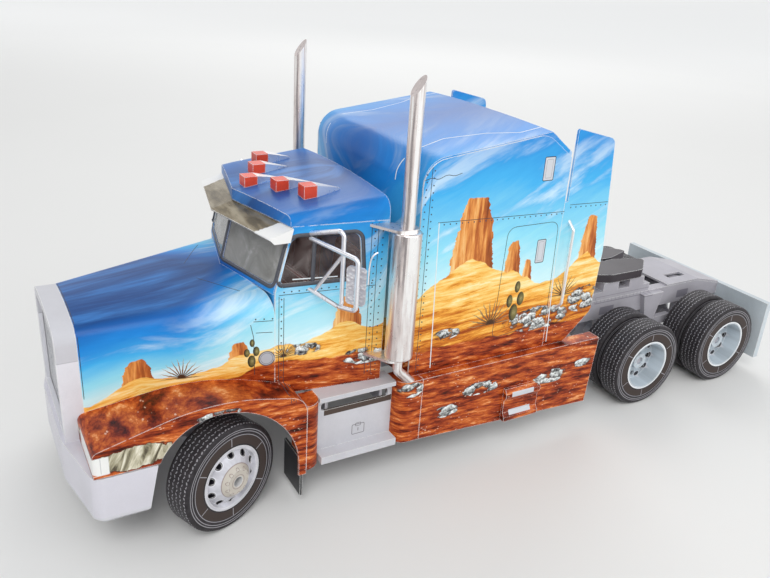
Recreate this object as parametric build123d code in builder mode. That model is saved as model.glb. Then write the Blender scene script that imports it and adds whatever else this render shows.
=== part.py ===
from build123d import *
from math import cos, radians, sin
import os

# A card model of a conventional truck tractor with a sleeper, at 1:32
# +X forward, +Y to the left, +Z up, the ground at Z = 0
# Lengths along the truck are distances aft of the bumper's front, turned into X by station()

# Card and fits
card = 0.8                   # folded card of every panel
thin_card = 0.4              # window film and lamp lenses
gap = 0.3                    # between pieces that pass each other
bore_play = 0.05             # radial play of a turning hole on its pin

# Wheels and axles
tyre_radius = 16.5
tyre_width = 9.0
rim_radius = 9.98
tyre_shoulder = 1.2
dual_spacing = 10.8          # middle of one twin tyre to the middle of the other
front_axle_aft = 36.5
drive_axle_aft = 205.6
bogie_spacing = 44.7
kingpin_spread = 26.0        # kingpin to the middle of the truck
wheel_offset = 7.8           # kingpin to the middle of the front tyre
parked_steer = 22.5          # degrees to the left, as the model stands
twin_face = 37.6             # outer face of the drive tyres from the middle
stub_radius = 1.5
axle_tube_radius = 2.6
arm_length = 9.0
track_pin_radius = 0.8
dish_depth = 6.2             # outer face of the drive tyres to the disc
rim_holes = 10
hand_hole_radius = 0.85
hub_radius = 5.2

# Frame
body_bottom = 34.6           # cab and sleeper sit on the rails at this height; steps and skirts end there
rail_outside = 13.5
rail_height = 8.2
rail_flange = 4.0
rail_front_aft = 14.0
rail_overhang = 20.3         # the rails' ends behind the rear drive axle
rail_taper = 14.0            # length of the rails' sloping ends
rail_drop = 3.4
tie_thick = 4.8              # a crossmember, fore and aft
coupling_offset = 6.4        # middle of the fifth wheel behind the front drive axle
coupling_top = 45.0
coupling_thick = 3.4
coupling_half = 14.0
coupling_reach = 17.0        # middle of the fifth wheel to its front and rear ends
coupling_waist = 8.5         # middle of the fifth wheel to its widest part's ends
kingpin_bore = 1.25
kingpin_throat = 0.8         # half-width of the slot that leads the kingpin in
throat_mouth = 5.0           # half-width of the slot's mouth
base_height = 3.4            # blocks on the rails under the fifth wheel
base_length = 36.0
base_width = 5.0
saddle_spread = 14.0         # saddle to saddle, fore and aft
saddle_length = 8.0
deck_front = 26.0            # deck plate's front behind the fifth wheel's middle
deck_slot = [6.6, 9.8, 3.6]  # behind the deck's front, length, width
deck_slot_across = 6.6
hanger_reach = 2.4           # thickness of the hangers and springs outside the rails
leaf_thick = 1.2
leaf_count = 3
leaf_end = 1.7               # the longest leaf's ends past the drive axles
leaf_step = 5.8

# Bumper
bumper_top = 27.5
bumper_bottom = 12.5
bumper_flat_half = 16.0
bumper_sweep = 3.8           # how far the ends lie behind the middle
bumper_corner = 3.5
bumper_clear = 15.6          # front axle to the upper end of the bumper's side
bumper_rake = 3.1            # how far its lower end lies ahead of that
bumper_chamfer = 2.0
bumper_ledge = 10.0

# Grille and hood
grille_aft = 1.0
grille_depth = 5.5
grille_half = 18.0
grille_top = 60.2
grille_crown = 1.6
grille_corner = 4.5
grille_frame = 2.4
grille_bar_count = 13
hood_bottom = 35.5

# Fenders
fender_front_aft = 4.6
fender_tail = 27.1           # front axle to the fenders' rear
fender_front_top = 35.4
fender_peak = 43.6
fender_rear_top = 37.6
fender_bottom = 27.9
fender_rear_bottom = 11.4
fender_half = 38.0
arch_behind = 1.3            # middle of the arch behind the front axle
arch_height = 15.3
arch_radius = 23.4
arch_lead = 15.0             # front axle to the arch's front foot
lip_relief = 5.6             # length of the fender's floor cut back at the arch for the steered tyre
lamp_height = 5.2
lamp_wrap = 4.0
lamp_inner = 22.0            # inner end of a headlight from the middle
lamp_sill = 0.9              # lamp above the fenders' lower edge
flap_bottom = 3.3
front_flap_inner = 25.0

# Cab
cab_front_half = 28.2
cab_rear_half = 32.0
cab_corner_aft = 57.5        # foot of the windshield at the side
cab_apex_aft = 51.2          # foot of the windshield in the middle
cab_rear_aft = 90.5
waist = 67.0                 # foot of the windshield
cab_wall = 19.0              # from the waist to the eave
screen_lean = 4.6            # how far the windshield's top lies behind its foot
roof_front_rise = 1.2        # height of the roof's shoulders above the eave
roof_middle_rise = 3.4
roof_rear_rise = 6.0
roof_brow = 14.0             # length of the steeper front of the roof
roof_shoulder = 6.5
sill_rise = 2.4              # door window's foot above the waist
head_drop = 3.1              # door window's head below the eave
door_window_front = 1.2      # from the corner post to the window's foot
door_window_length = 24.4
door_window_rake = 3.3
visor_drop = 4.2
visor_reach = 7.0

# Sleeper
sleeper_half = 35.0
sleeper_gap = 4.7            # behind the cab
sleeper_length = 57.4
sleeper_bow = 3.6            # how far the front's ends lie behind its middle
sleeper_flat = 17.0          # half-width of the front's flat middle
sleeper_sweep = 40.0         # bend radius between the flat and the swept ends
sleeper_front_top = 102.2    # height of the sides, drawn on to the front
sleeper_rear_top = 108.4
sleeper_crown = 1.6          # how far the roof's middle lies above its sides
sleeper_nose_radius = 8.0
sleeper_tail = 10.6          # length of the roof's fall to the rear
sleeper_fall = 8.0
extender_length = 20.7
extender_rise = 0.8          # above the sleeper's roof at the rear
extender_slit = 1.2

# Skirts, steps and exhausts
skirt_clear = 12.9           # skirts' rear to the drive tyres
skirt_front_bottom = 12.6
skirt_rear_bottom = 9.0
front_fairing = 5.0          # length of the rounded panel before the cab steps
rear_fairing = 8.5
step_past_muffler = 1.3
step_inner = 33.6
tread_height = 13.0
tread_thick = 2.4
fairing_bottom = 12.6
muffler_gap = 2.4            # muffler's middle behind the cab
muffler_across = 37.8
muffler_radius = 4.25
muffler_bottom = 44.6
muffler_top = 84.4
stack_radius = 2.0
stack_top = 126.6
stack_slash = 5.4
elbow_radius = 1.5
elbow_height = 40.0
elbow_run = 6.3              # how far aft of the muffler the elbow ends
elbow_across = 36.4
bracket_length = 6.0         # along the cab's wall
skirt_step_lead = 32.8       # box of two steps behind the skirts' front
skirt_step_length = 14.5
skirt_step_top = 23.5
skirt_step_drop = 12.1

# Mirrors, grab handles and lamps
mirror_foot = 10.0           # behind the windshield's foot
mirror_rod = 0.65
near_post = [4.9, 9.8]       # aft of the foot, and out from it
far_post = [6.4, 15.5]
mirror_width = 5.6
mirror_height = 11.0
mirror_thick = 0.9
handle_lead = 3.2            # behind the sleeper
handle_top = 79.0
handle_bottom = 49.0
handle_reach = 2.4
handle_rod = 0.55

# Rear mudflaps
flap_depth = 2.6
flap_inner = 11.0
flap_outer = 38.5
flap_low = 6.5
flap_high = 31.5
crossbar_height = 6.0

# Cab interior
seat_behind = 21.5           # middle of a seat behind the windshield's foot
seat_height = 17.4           # cushion above the rails
seat_back = 38.4
seat_width = 13.0
driver_across = 14.0
seat_depth = 15.6            # cushion's front to the back's rear
seat_front = 6.0             # cushion's front ahead of the seat's middle
wheel_radius = 6.2
dash_drop = 12.0             # dashboard's foot below the waist
dash_reach = 8.5
column_drop = 8.0            # steering column's foot below the waist

# Where things lie along the truck; its length sets where X = 0 is
drive_aft = [drive_axle_aft, drive_axle_aft + bogie_spacing]
rail_top = body_bottom
rail_bottom = rail_top - rail_height
rail_rear_aft = drive_aft[1] + rail_overhang
bumper_half = fender_half
skirt_half = fender_half
bumper_return = front_axle_aft - bumper_clear
bumper_return_low = bumper_return - bumper_rake
fender_rear_aft = front_axle_aft + fender_tail
arch_aft = front_axle_aft + arch_behind
arch_front_aft = front_axle_aft - arch_lead
eave = waist + cab_wall
door_sill = waist + sill_rise
door_head = eave - head_drop
sleeper_front_aft = cab_rear_aft + sleeper_gap
sleeper_rear_aft = sleeper_front_aft + sleeper_length
extender_rear_aft = sleeper_rear_aft + extender_length
extender_top = sleeper_rear_top + extender_rise
muffler_aft = cab_rear_aft + muffler_gap
step_front_aft = fender_rear_aft + front_fairing
step_rear_aft = muffler_aft + step_past_muffler
skirt_front_aft = step_rear_aft + rear_fairing
skirt_rear_aft = drive_axle_aft - tyre_radius - skirt_clear
overall_length = rail_rear_aft + flap_depth
nose_x = overall_length / 2


def station(aft):
    return nose_x - aft


def save(builder, name):
    builder.part.label = name
    export_step(builder.part, f"parts/{name}.step")


# A plane that stands lengthways at a distance across, seen from the left
def side_plane(across):
    return Plane.XZ.offset(-across)


# A plane that stands across the truck at a distance aft, seen from the front
def cross_plane(aft):
    return Plane.YZ.offset(station(aft))


os.makedirs("parts", exist_ok=True)
steer = radians(parked_steer)
axle_x = station(front_axle_aft)
sides = [("left", 1), ("right", -1)]

# Frame rails: two channels, open inwards
rail_length = rail_rear_aft - rail_front_aft
with BuildPart() as frame_rails:
    with BuildSketch(cross_plane(rail_rear_aft)):
        with Locations((rail_outside - rail_flange / 2, (rail_top + rail_bottom) / 2)):
            Rectangle(rail_flange, rail_top - rail_bottom)
        with Locations((rail_outside - card - rail_flange / 2, (rail_top + rail_bottom) / 2)):
            Rectangle(rail_flange, rail_top - rail_bottom - 2 * card, mode=Mode.SUBTRACT)
    extrude(amount=rail_length)
    with BuildSketch(side_plane(rail_outside)):
        with BuildLine():
            Polyline(
                (station(rail_rear_aft), rail_top), (station(rail_rear_aft), rail_top - rail_drop),
                (station(rail_rear_aft - rail_taper), rail_top), close=True)
        make_face()
    extrude(amount=rail_flange, mode=Mode.SUBTRACT)
    mirror(about=Plane.XZ)
save(frame_rails, "frame_rails")

# Crossmembers: boxed ties between the webs of the rails
tie_half = rail_outside - card
tie_aft = [
    rail_front_aft + tie_thick, cab_corner_aft, sleeper_front_aft, (sleeper_front_aft + skirt_rear_aft) / 2,
    skirt_rear_aft, drive_axle_aft + bogie_spacing / 2, rail_rear_aft - rail_taper - tie_thick]
with BuildPart() as crossmembers:
    for aft in tie_aft:
        with BuildSketch(cross_plane(aft)):
            with Locations((0, (rail_top + rail_bottom) / 2)):
                Rectangle(2 * tie_half, rail_top - rail_bottom - 2 * card)
        extrude(amount=tie_thick / 2, both=True)
save(crossmembers, "crossmembers")

# Deck plate: folded over the rails behind the fifth wheel and down their sloping ends, with a slot
coupling_aft = drive_axle_aft + coupling_offset
deck_aft = coupling_aft + deck_front
slope_aft = rail_rear_aft - rail_taper
slot_start, slot_length, slot_width = deck_slot
with BuildPart() as deck_plate:
    with BuildSketch(side_plane(rail_outside)):
        with BuildLine():
            Polyline(
                (station(deck_aft), rail_top), (station(deck_aft), rail_top + card),
                (station(slope_aft), rail_top + card), (station(rail_rear_aft), rail_top - rail_drop + card),
                (station(rail_rear_aft), rail_top - rail_drop), (station(slope_aft), rail_top), close=True)
        make_face()
    extrude(amount=2 * rail_outside)
    with BuildSketch(Plane.XY.offset(rail_top)):
        with Locations((station(deck_aft + slot_start + slot_length / 2), deck_slot_across)):
            RectangleRounded(slot_length, slot_width, card)
    extrude(amount=card, mode=Mode.SUBTRACT)
save(deck_plate, "deck_plate")

# Front axle: a dropped beam with a fork at each end that holds the kingpin
sleeve_height = 5.0
sleeve_radius = 2.2
kingpin_radius = 1.1
fork_thick = 1.2
axle_height = tyre_radius
fork_reach = kingpin_spread - sleeve_radius - 1.4
fork_half = sleeve_height / 2 + fork_thick
beam_top = axle_height + 0.6
beam_bottom = axle_height - 3.4
beam_width = 3.2
pad_length = 6.0
with BuildPart() as front_axle:
    with BuildSketch(Plane.YZ.offset(axle_x)):
        with BuildLine():
            Polyline(
                (0, beam_bottom), (rail_outside, beam_bottom), (fork_reach + 0.6, axle_height - fork_half),
                (fork_reach + 0.6, axle_height + fork_half),
                (fork_reach - beam_width, axle_height + fork_half), (rail_outside, beam_top), (0, beam_top),
                close=True)
        make_face()
    extrude(amount=beam_width / 2, both=True)
    for level in (-1, 1):
        fork_z = axle_height + level * (sleeve_height / 2 + gap + fork_thick / 2)
        with BuildSketch(Plane.XY.offset(fork_z)):
            with Locations((axle_x, kingpin_spread)):
                Circle(sleeve_radius)
            with Locations((axle_x, (fork_reach + kingpin_spread) / 2)):
                Rectangle(2 * sleeve_radius, kingpin_spread - fork_reach)
        extrude(amount=fork_thick / 2, both=True)
    with Locations((axle_x, kingpin_spread, axle_height)):
        Cylinder(kingpin_radius, sleeve_height + 2 * gap + fork_thick)
    mirror(about=Plane.XZ)
    for across in (rail_flange / 2 - rail_outside, rail_outside - rail_flange / 2):
        with Locations((axle_x, across, (beam_top + rail_bottom) / 2)):
            Box(pad_length, beam_width, rail_bottom - beam_top)
save(front_axle, "front_axle")


# A plane through an axle: x up, y outwards along the axle
def axle_plane(centre, outward):
    return Plane(origin=centre, x_dir=(0, 0, 1), z_dir=Vector(0, 0, 1).cross(outward))


# Turns a plan offset (forward, left) by the parked steering angle
def steered(forward, left):
    return (forward * cos(steer) - left * sin(steer), forward * sin(steer) + left * cos(steer))


# Steering knuckles: a sleeve on the kingpin, a stub for the wheel and an arm with the track pin
stub_start = sleeve_radius - 0.6
stub_end = wheel_offset + 1.2
for side, sign in sides:
    pin_x, pin_y = axle_x, sign * kingpin_spread
    out = Vector(*steered(0, sign), 0)
    back = Vector(*steered(-1, 0), 0)
    hub_plane = Plane(origin=(pin_x, pin_y, axle_height), x_dir=(0, 0, 1), z_dir=out)
    tip = Vector(pin_x, pin_y, 0) + back * arm_length
    with BuildPart() as knuckle:
        with Locations((pin_x, pin_y, axle_height)):
            Cylinder(sleeve_radius, sleeve_height)
        with BuildSketch(hub_plane.offset(stub_start)):
            Circle(stub_radius)
        extrude(amount=stub_end - stub_start)
        arm_plane = Plane(origin=(pin_x, pin_y, axle_height - sleeve_height / 2), x_dir=back, z_dir=(0, 0, 1))
        with BuildSketch(arm_plane):
            with Locations((arm_length / 2, 0)):
                SlotCenterToCenter(arm_length, 2 * track_pin_radius + 1.4)
        extrude(amount=1.4)
        with Locations((tip.X, tip.Y, axle_height - sleeve_height / 2 - 1.0)):
            Cylinder(track_pin_radius, 2.4)
        with Locations((pin_x, pin_y, axle_height)):
            Cylinder(kingpin_radius + bore_play, sleeve_height + 2, mode=Mode.SUBTRACT)
    save(knuckle, f"knuckle_{side}")

# Tie rod: a flat bar with an eye on each track pin
eye_radius = track_pin_radius + 0.9
rod_top = axle_height - sleeve_height / 2 - gap
rod_thick = 1.2
tip_left = Vector(axle_x, kingpin_spread, 0) + Vector(*steered(-1, 0), 0) * arm_length
tip_right = Vector(tip_left.X, tip_left.Y - 2 * kingpin_spread, 0)
with BuildPart() as tie_rod:
    with BuildSketch(Plane.XY.offset(rod_top - rod_thick)):
        with Locations((tip_left.X, tip_left.Y - kingpin_spread)):
            Rectangle(1.6, 2 * kingpin_spread)
        with Locations((tip_left.X, tip_left.Y), (tip_right.X, tip_right.Y)):
            Circle(eye_radius)
            Circle(track_pin_radius + bore_play, mode=Mode.SUBTRACT)
    extrude(amount=rod_thick)
save(tie_rod, "tie_rod")


# A tyre of rolled card: flat sides and rounded shoulders
def make_tyre(plane, middles, name):
    half = tyre_width / 2
    with BuildPart() as tyre:
        with BuildSketch(plane):
            for middle in middles:
                with BuildLine():
                    FilletPolyline(
                        (rim_radius, middle - half), (tyre_radius, middle - half),
                        (tyre_radius, middle + half), (rim_radius, middle + half),
                        radius=[0, tyre_shoulder, tyre_shoulder, 0], close=True)
                make_face()
        revolve(axis=Axis(plane.origin, plane.y_dir))
    save(tyre, name)


# Front rim: a domed disc with a ring of hand holes and a hub that bears on the stub
def make_front_rim(plane, name):
    half = tyre_width / 2
    bore = stub_radius + bore_play
    web = half - 3.4
    tube = hub_radius - 1.6
    with BuildPart() as rim:
        with BuildSketch(plane):
            with BuildLine():
                Polyline(
                    (bore, -half), (tube, -half), (tube, web), (rim_radius - 1.0, web),
                    (rim_radius - 1.0, -half + 1.0), (rim_radius, -half + 1.0), (rim_radius, half),
                    (rim_radius - 1.0, half), (rim_radius - 1.6, half - 1.2), (hub_radius + 0.4, half + 0.8),
                    (hub_radius - 1.4, half + 2.4), (bore, half + 2.4), close=True)
            make_face()
        revolve(axis=Axis(plane.origin, plane.y_dir))
        with BuildSketch(Plane(plane.origin, x_dir=(0, 0, 1), z_dir=plane.y_dir).offset(web - 1)):
            with PolarLocations((hub_radius + rim_radius) / 2, rim_holes):
                Circle(hand_hole_radius)
        extrude(amount=half - web + 4, mode=Mode.SUBTRACT)
    save(rim, name)


# Drive rims: a deep dish outside and a plain ring inside, on one hub tube
def make_drive_rim(plane, middles, name):
    bore = stub_radius + bore_play
    outside = middles[0] + tyre_width / 2
    inside = middles[1] - tyre_width / 2
    disc = outside - dish_depth
    tube = hub_radius - 1.0
    with BuildPart() as rim:
        with BuildSketch(plane):
            with BuildLine():
                Polyline(
                    (bore, inside), (tube, inside), (tube, disc - 1.0), (rim_radius - 1.0, disc - 1.0),
                    (rim_radius - 1.0, inside), (rim_radius, inside), (rim_radius, outside),
                    (rim_radius - 0.9, outside), (rim_radius - 1.4, disc), (hub_radius - 2.0, disc),
                    (hub_radius - 2.2, disc + 2.4), (bore, disc + 2.4), close=True)
            make_face()
        revolve(axis=Axis(plane.origin, plane.y_dir))
        with BuildSketch(Plane(plane.origin, x_dir=(0, 0, 1), z_dir=plane.y_dir).offset(disc - 2)):
            with PolarLocations((hub_radius + rim_radius) / 2 - 1.2, rim_holes - 2):
                Circle(hand_hole_radius + 0.25)
        extrude(amount=3, mode=Mode.SUBTRACT)
    save(rim, name)


# Front wheels, turned as parked
for side, sign in sides:
    out = Vector(*steered(0, sign), 0)
    centre = Vector(axle_x, sign * kingpin_spread, axle_height) + out * wheel_offset
    plane = axle_plane(centre, out)
    make_tyre(plane, [0.0], f"front_tyre_{side}")
    make_front_rim(plane, f"front_rim_{side}")

# Drive wheels: twins on one hub
twin_middles = [twin_face - tyre_width / 2, twin_face - tyre_width / 2 - dual_spacing]
for number, aft in enumerate(drive_aft, 1):
    for side, sign in sides:
        plane = axle_plane(Vector(station(aft), 0, axle_height), Vector(0, sign, 0))
        make_tyre(plane, twin_middles, f"drive_tyres_{number}_{side}")
        make_drive_rim(plane, twin_middles, f"drive_rims_{number}_{side}")

# Drive axles: a tube with a differential bowl and a stub at each end
hub_inside = twin_middles[1] - tyre_width / 2
bowl_radius = 5.6
pinion_length = 4.0
with BuildPart() as drive_axles:
    for aft in drive_aft:
        with BuildSketch(Plane.XZ):
            with Locations((station(aft), axle_height)):
                Circle(axle_tube_radius)
        extrude(amount=hub_inside - gap, both=True)
        with BuildSketch(Plane.XZ):
            with Locations((station(aft), axle_height)):
                Circle(stub_radius)
        extrude(amount=twin_face - dish_depth + 1.6, both=True)
        with Locations((station(aft), 0, axle_height)):
            Sphere(bowl_radius)
        with Locations((station(aft) + bowl_radius, 0, axle_height)):
            Cylinder(axle_tube_radius, pinion_length, rotation=(0, 90, 0))
save(drive_axles, "drive_axles")

# Suspension: a seat over each drive axle, and between the axles a hanger on a stack of leaf springs
bogie_x = station(drive_axle_aft + bogie_spacing / 2)
spring_foot = axle_height + axle_tube_radius
hanger_foot = spring_foot + leaf_count * leaf_thick
hanger_top_half = 5.5
hanger_foot_half = 2.6
seat_length = 7.0
seat_thick = 3.0
with BuildPart() as suspension:
    with BuildSketch(side_plane(rail_outside + hanger_reach)):
        with BuildLine():
            Polyline(
                (bogie_x - hanger_top_half, rail_top - card), (bogie_x - hanger_foot_half, hanger_foot),
                (bogie_x + hanger_foot_half, hanger_foot), (bogie_x + hanger_top_half, rail_top - card),
                close=True)
        make_face()
        for number in range(leaf_count):
            with Locations((bogie_x, spring_foot + (number + 0.5) * leaf_thick)):
                Rectangle(bogie_spacing + 2 * (leaf_end - number * leaf_step), leaf_thick)
    extrude(amount=hanger_reach)
    for aft in drive_aft:
        with Locations((station(aft), rail_outside - rail_flange / 2, (axle_height + rail_bottom) / 2)):
            Box(seat_length, seat_thick, rail_bottom - axle_height)
        with Locations((station(aft), rail_outside - rail_flange / 2, axle_height)):
            Cylinder(axle_tube_radius, rail_flange, rotation=(90, 0, 0), mode=Mode.SUBTRACT)
    mirror(about=Plane.XZ)
save(suspension, "suspension")

# Fifth wheel: a horseshoe plate with a kingpin bore and a throat that flares to the rear
coupling_x = station(coupling_aft)
plate_bottom = coupling_top - coupling_thick
horn_half = throat_mouth + 1.5
shoulder = coupling_half - 4
throat_x = coupling_x - coupling_reach / 3
mouth_x = coupling_x - coupling_reach - 1
with BuildPart() as fifth_wheel:
    with BuildSketch(Plane.XY.offset(plate_bottom)):
        with BuildLine():
            FilletPolyline(
                (coupling_x + coupling_reach, -shoulder), (coupling_x + coupling_reach, shoulder),
                (coupling_x + coupling_waist, coupling_half), (coupling_x - coupling_waist, coupling_half),
                (coupling_x - coupling_reach, horn_half), (coupling_x - coupling_reach, -horn_half),
                (coupling_x - coupling_waist, -coupling_half), (coupling_x + coupling_waist, -coupling_half),
                radius=[4, 4, 6, 5, 1.5, 1.5, 5, 6], close=True)
        make_face()
        with Locations((coupling_x, 0)):
            Circle(kingpin_bore, mode=Mode.SUBTRACT)
        with BuildLine():
            Polyline(
                (coupling_x, kingpin_throat), (throat_x, kingpin_throat), (mouth_x, throat_mouth),
                (mouth_x, -throat_mouth), (throat_x, -kingpin_throat), (coupling_x, -kingpin_throat), close=True)
        make_face(mode=Mode.SUBTRACT)
    extrude(amount=coupling_thick)
save(fifth_wheel, "fifth_wheel")

# Fifth wheel base: a block along each rail with two saddles that hold the plate
base_top = rail_top + base_height
with BuildPart() as coupling_base:
    for across in (base_width / 2 - rail_outside, rail_outside - base_width / 2):
        with Locations((coupling_x + coupling_offset / 2, across, rail_top + base_height / 2)):
            Box(base_length, base_width, base_height)
        with Locations((coupling_x, across, (base_top + plate_bottom) / 2)):
            with GridLocations(saddle_spread, 0, 2, 1):
                Box(saddle_length, base_width, plate_bottom - base_top)
save(coupling_base, "coupling_base")

# Bumper: a folded front with swept ends, open behind and below
with BuildPart() as bumper:
    with BuildSketch(Plane.XY.offset(bumper_bottom)):
        with BuildLine():
            FilletPolyline(
                (station(bumper_return), -bumper_half), (station(bumper_sweep + 0.6), -bumper_half),
                (station(0), -bumper_flat_half), (station(0), bumper_flat_half),
                (station(bumper_sweep + 0.6), bumper_half), (station(bumper_return), bumper_half),
                radius=[0, bumper_corner, 8, 8, bumper_corner, 0], close=True)
        make_face()
    extrude(amount=bumper_top - bumper_bottom)
    rear_cut = Plane(
        origin=(station(bumper_return), 0, bumper_top), x_dir=(0, 1, 0),
        z_dir=(bumper_top - bumper_bottom, 0, bumper_return - bumper_return_low))
    split(bisect_by=rear_cut, keep=Keep.TOP)
    low_edges = bumper.edges().group_by(Axis.Z)[0]
    rear_low = low_edges.sort_by(Axis.X)[0]
    chamfer([edge for edge in low_edges if edge.center().X > rear_low.center().X + 1], bumper_chamfer)
    rear_face = bumper.faces().sort_by(Axis((0, 0, 0), rear_cut.z_dir))[0]
    low_face = bumper.faces().sort_by(Axis.Z)[0]
    offset(amount=-card, openings=[rear_face, low_face])
    with BuildSketch(Plane.XY.offset(bumper_top)):
        with Locations((station((bumper_ledge + bumper_return + 2) / 2), 0)):
            Rectangle(bumper_return + 2 - bumper_ledge, 2 * (bumper_half - card))
    extrude(amount=-2 * card, mode=Mode.SUBTRACT)
save(bumper, "bumper")


# The front outline of the grille and hood: upright sides and a crowned top with rounded shoulders
def nose_outline(half, bottom, top, crown, corner):
    with BuildSketch() as outline:
        with BuildLine():
            Line((-half, bottom), (-half, top))
            ThreePointArc((-half, top), (0, top + crown), (half, top))
            Line((half, top), (half, bottom))
            Line((half, bottom), (-half, bottom))
        make_face()
        fillet(outline.vertices().group_by(Axis.Y)[-1], corner)
    return outline.sketch


# Grille shell: a hoop of card with a frame round its face
grille_bottom = bumper_top
with BuildPart() as grille_shell:
    for depth, rim in ((grille_depth, card), (1.2, grille_frame)):
        with BuildSketch(cross_plane(grille_aft + depth)):
            add(nose_outline(grille_half, grille_bottom, grille_top, grille_crown, grille_corner))
            add(nose_outline(
                grille_half - rim, grille_bottom + rim, grille_top - rim, grille_crown, grille_corner - rim),
                mode=Mode.SUBTRACT)
        extrude(amount=depth)
save(grille_shell, "grille_shell")

# Grille: a backing card with upright bars
bars_half = grille_half - grille_frame
bars_aft = grille_aft + 1.2
with BuildPart() as grille_bars:
    with BuildSketch(cross_plane(bars_aft + 1.4)):
        add(nose_outline(
            grille_half - card, grille_bottom + card, grille_top - card, grille_crown, grille_corner - card))
    extrude(amount=0.7)
    with BuildSketch(cross_plane(bars_aft + 0.7)):
        with Locations((0, (grille_bottom + grille_top) / 2)):
            with GridLocations(2 * bars_half / grille_bar_count, 1, grille_bar_count, 1):
                Rectangle(0.9, grille_top - grille_bottom - 2 * grille_frame)
    extrude(amount=0.6)
save(grille_bars, "grille_bars")

# Hood: lofted from the grille's outline to the cab's, open below, its rear cut to the windshield's vee
hood_front_aft = grille_aft + grille_depth
hood_rear_aft = cab_corner_aft
hood_rear_top = waist - 1.6
hood_rear_crown = 1.6


with BuildPart() as hood:
    for inset, mode in ((0, Mode.ADD), (card, Mode.SUBTRACT)):
        for aft, half, top, crown, corner in (
                (hood_front_aft, grille_half, grille_top, grille_crown, grille_corner),
                (hood_rear_aft, cab_front_half, hood_rear_top, hood_rear_crown, grille_corner + 2)):
            with BuildSketch(cross_plane(aft)):
                add(nose_outline(half - inset, hood_bottom - inset, top - inset, crown, corner - inset))
        loft(mode=mode)
    with BuildSketch(Plane.XY.offset(waist - 8)):
        with BuildLine():
            Polyline(
                (station(cab_apex_aft), 0), (station(cab_corner_aft), cab_front_half),
                (station(cab_rear_aft), cab_front_half), (station(cab_rear_aft), -cab_front_half),
                (station(cab_corner_aft), -cab_front_half), close=True)
        make_face()
    extrude(amount=20, mode=Mode.SUBTRACT)
save(hood, "hood")


# Fenders: a folded skin with an open arch, cut to the hood's side
def fender_outline(inset):
    with BuildSketch() as outline:
        with BuildLine():
            FilletPolyline(
                (station(fender_front_aft + inset), fender_bottom + inset),
                (station(fender_front_aft + inset), fender_front_top - inset),
                (axle_x, fender_peak - inset),
                (station(fender_rear_aft - inset), fender_rear_top - inset),
                (station(fender_rear_aft - inset), fender_rear_bottom - inset),
                (station(arch_aft), fender_rear_bottom - inset), (station(arch_aft), fender_bottom + inset),
                radius=[0, 2.0, 60, 6, 0, 0, 0], close=True)
        make_face()
    return outline.sketch


fender_inner = 15.0
arch_top = arch_height + arch_radius
arch_side = arch_radius * sin(radians(45))
with BuildPart() as fenders:
    with BuildSketch(side_plane(fender_half)):
        add(fender_outline(0))
    extrude(amount=fender_half - fender_inner)
    with BuildSketch(side_plane(fender_half - card)):
        add(fender_outline(card))
        with Locations((station(arch_front_aft + 2 - lip_relief / 2), fender_bottom)):
            Rectangle(lip_relief, 3 * card)
    extrude(amount=fender_half - card - fender_inner, mode=Mode.SUBTRACT)
    with BuildSketch(side_plane(fender_half + 1)):
        with BuildLine():
            Polyline(
                (station(arch_aft + arch_radius), arch_height), (station(arch_aft + arch_radius), 0),
                (station(arch_front_aft), 0), (station(arch_front_aft), fender_bottom))
            ThreePointArc(
                (station(arch_front_aft), fender_bottom), (station(arch_front_aft + 6), fender_bottom + 7.4),
                (station(arch_aft), arch_top))
            ThreePointArc(
                (station(arch_aft), arch_top), (station(arch_aft + arch_side), arch_height + arch_side),
                (station(arch_aft + arch_radius), arch_height))
        make_face()
    extrude(amount=fender_half + 1 - fender_inner, mode=Mode.SUBTRACT)
    with BuildSketch(Plane.XY):
        with BuildLine():
            Polyline(
                (station(0), 0), (station(0), grille_half), (station(hood_front_aft), grille_half),
                (station(hood_rear_aft), cab_front_half), (station(cab_rear_aft), cab_rear_half),
                (station(cab_rear_aft), 0), close=True)
        make_face()
    extrude(amount=fender_peak, mode=Mode.SUBTRACT)
    with BuildSketch(side_plane(fender_half + 1)):
        with Locations((station(fender_front_aft), fender_bottom + lamp_sill + lamp_height / 2)):
            Rectangle(2 * lamp_wrap, lamp_height)
    extrude(amount=fender_half + 1 - lamp_inner, mode=Mode.SUBTRACT)
    mirror(about=Plane.XZ)
save(fenders, "fenders")

# Headlights: wrap-round lenses that fill the fenders' front corners
with BuildPart() as headlights:
    with BuildSketch(Plane.XY.offset(fender_bottom + lamp_sill)):
        with BuildLine():
            FilletPolyline(
                (station(fender_front_aft + lamp_wrap), fender_half),
                (station(fender_front_aft), fender_half), (station(fender_front_aft), lamp_inner),
                (station(fender_front_aft + 2 * card), lamp_inner),
                (station(fender_front_aft + 2 * card), fender_half - 2 * card),
                (station(fender_front_aft + lamp_wrap), fender_half - 2 * card),
                radius=[0, 2 * card, 0, 0, 0, 0], close=True)
        make_face()
    extrude(amount=lamp_height)
    mirror(about=Plane.XZ)
save(headlights, "headlights")

# Front mudflaps: hung inside the fenders' rear skins
with BuildPart() as front_mudflaps:
    with BuildSketch(cross_plane(fender_rear_aft - card)):
        with BuildLine():
            Polyline(
                (front_flap_inner, flap_bottom), (fender_half - card, flap_bottom),
                (fender_half - card, fender_rear_bottom + 5), (front_flap_inner, fender_rear_bottom + 5),
                close=True)
        make_face()
    extrude(amount=card)
    mirror(about=Plane.XZ)
save(front_mudflaps, "front_mudflaps")


# Cab: the side walls stand on a line that widens to the rear, and the windshield's two planes lean back
cab_run = cab_rear_aft - cab_corner_aft
cab_slant = cab_rear_half - cab_front_half


def cab_half(aft):
    return cab_front_half + cab_slant * (aft - cab_corner_aft) / cab_run


# The inner face of the side wall, measured straight across
def cab_inner(aft):
    return cab_half(aft) - card * (cab_run ** 2 + cab_slant ** 2) ** 0.5 / cab_run


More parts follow.
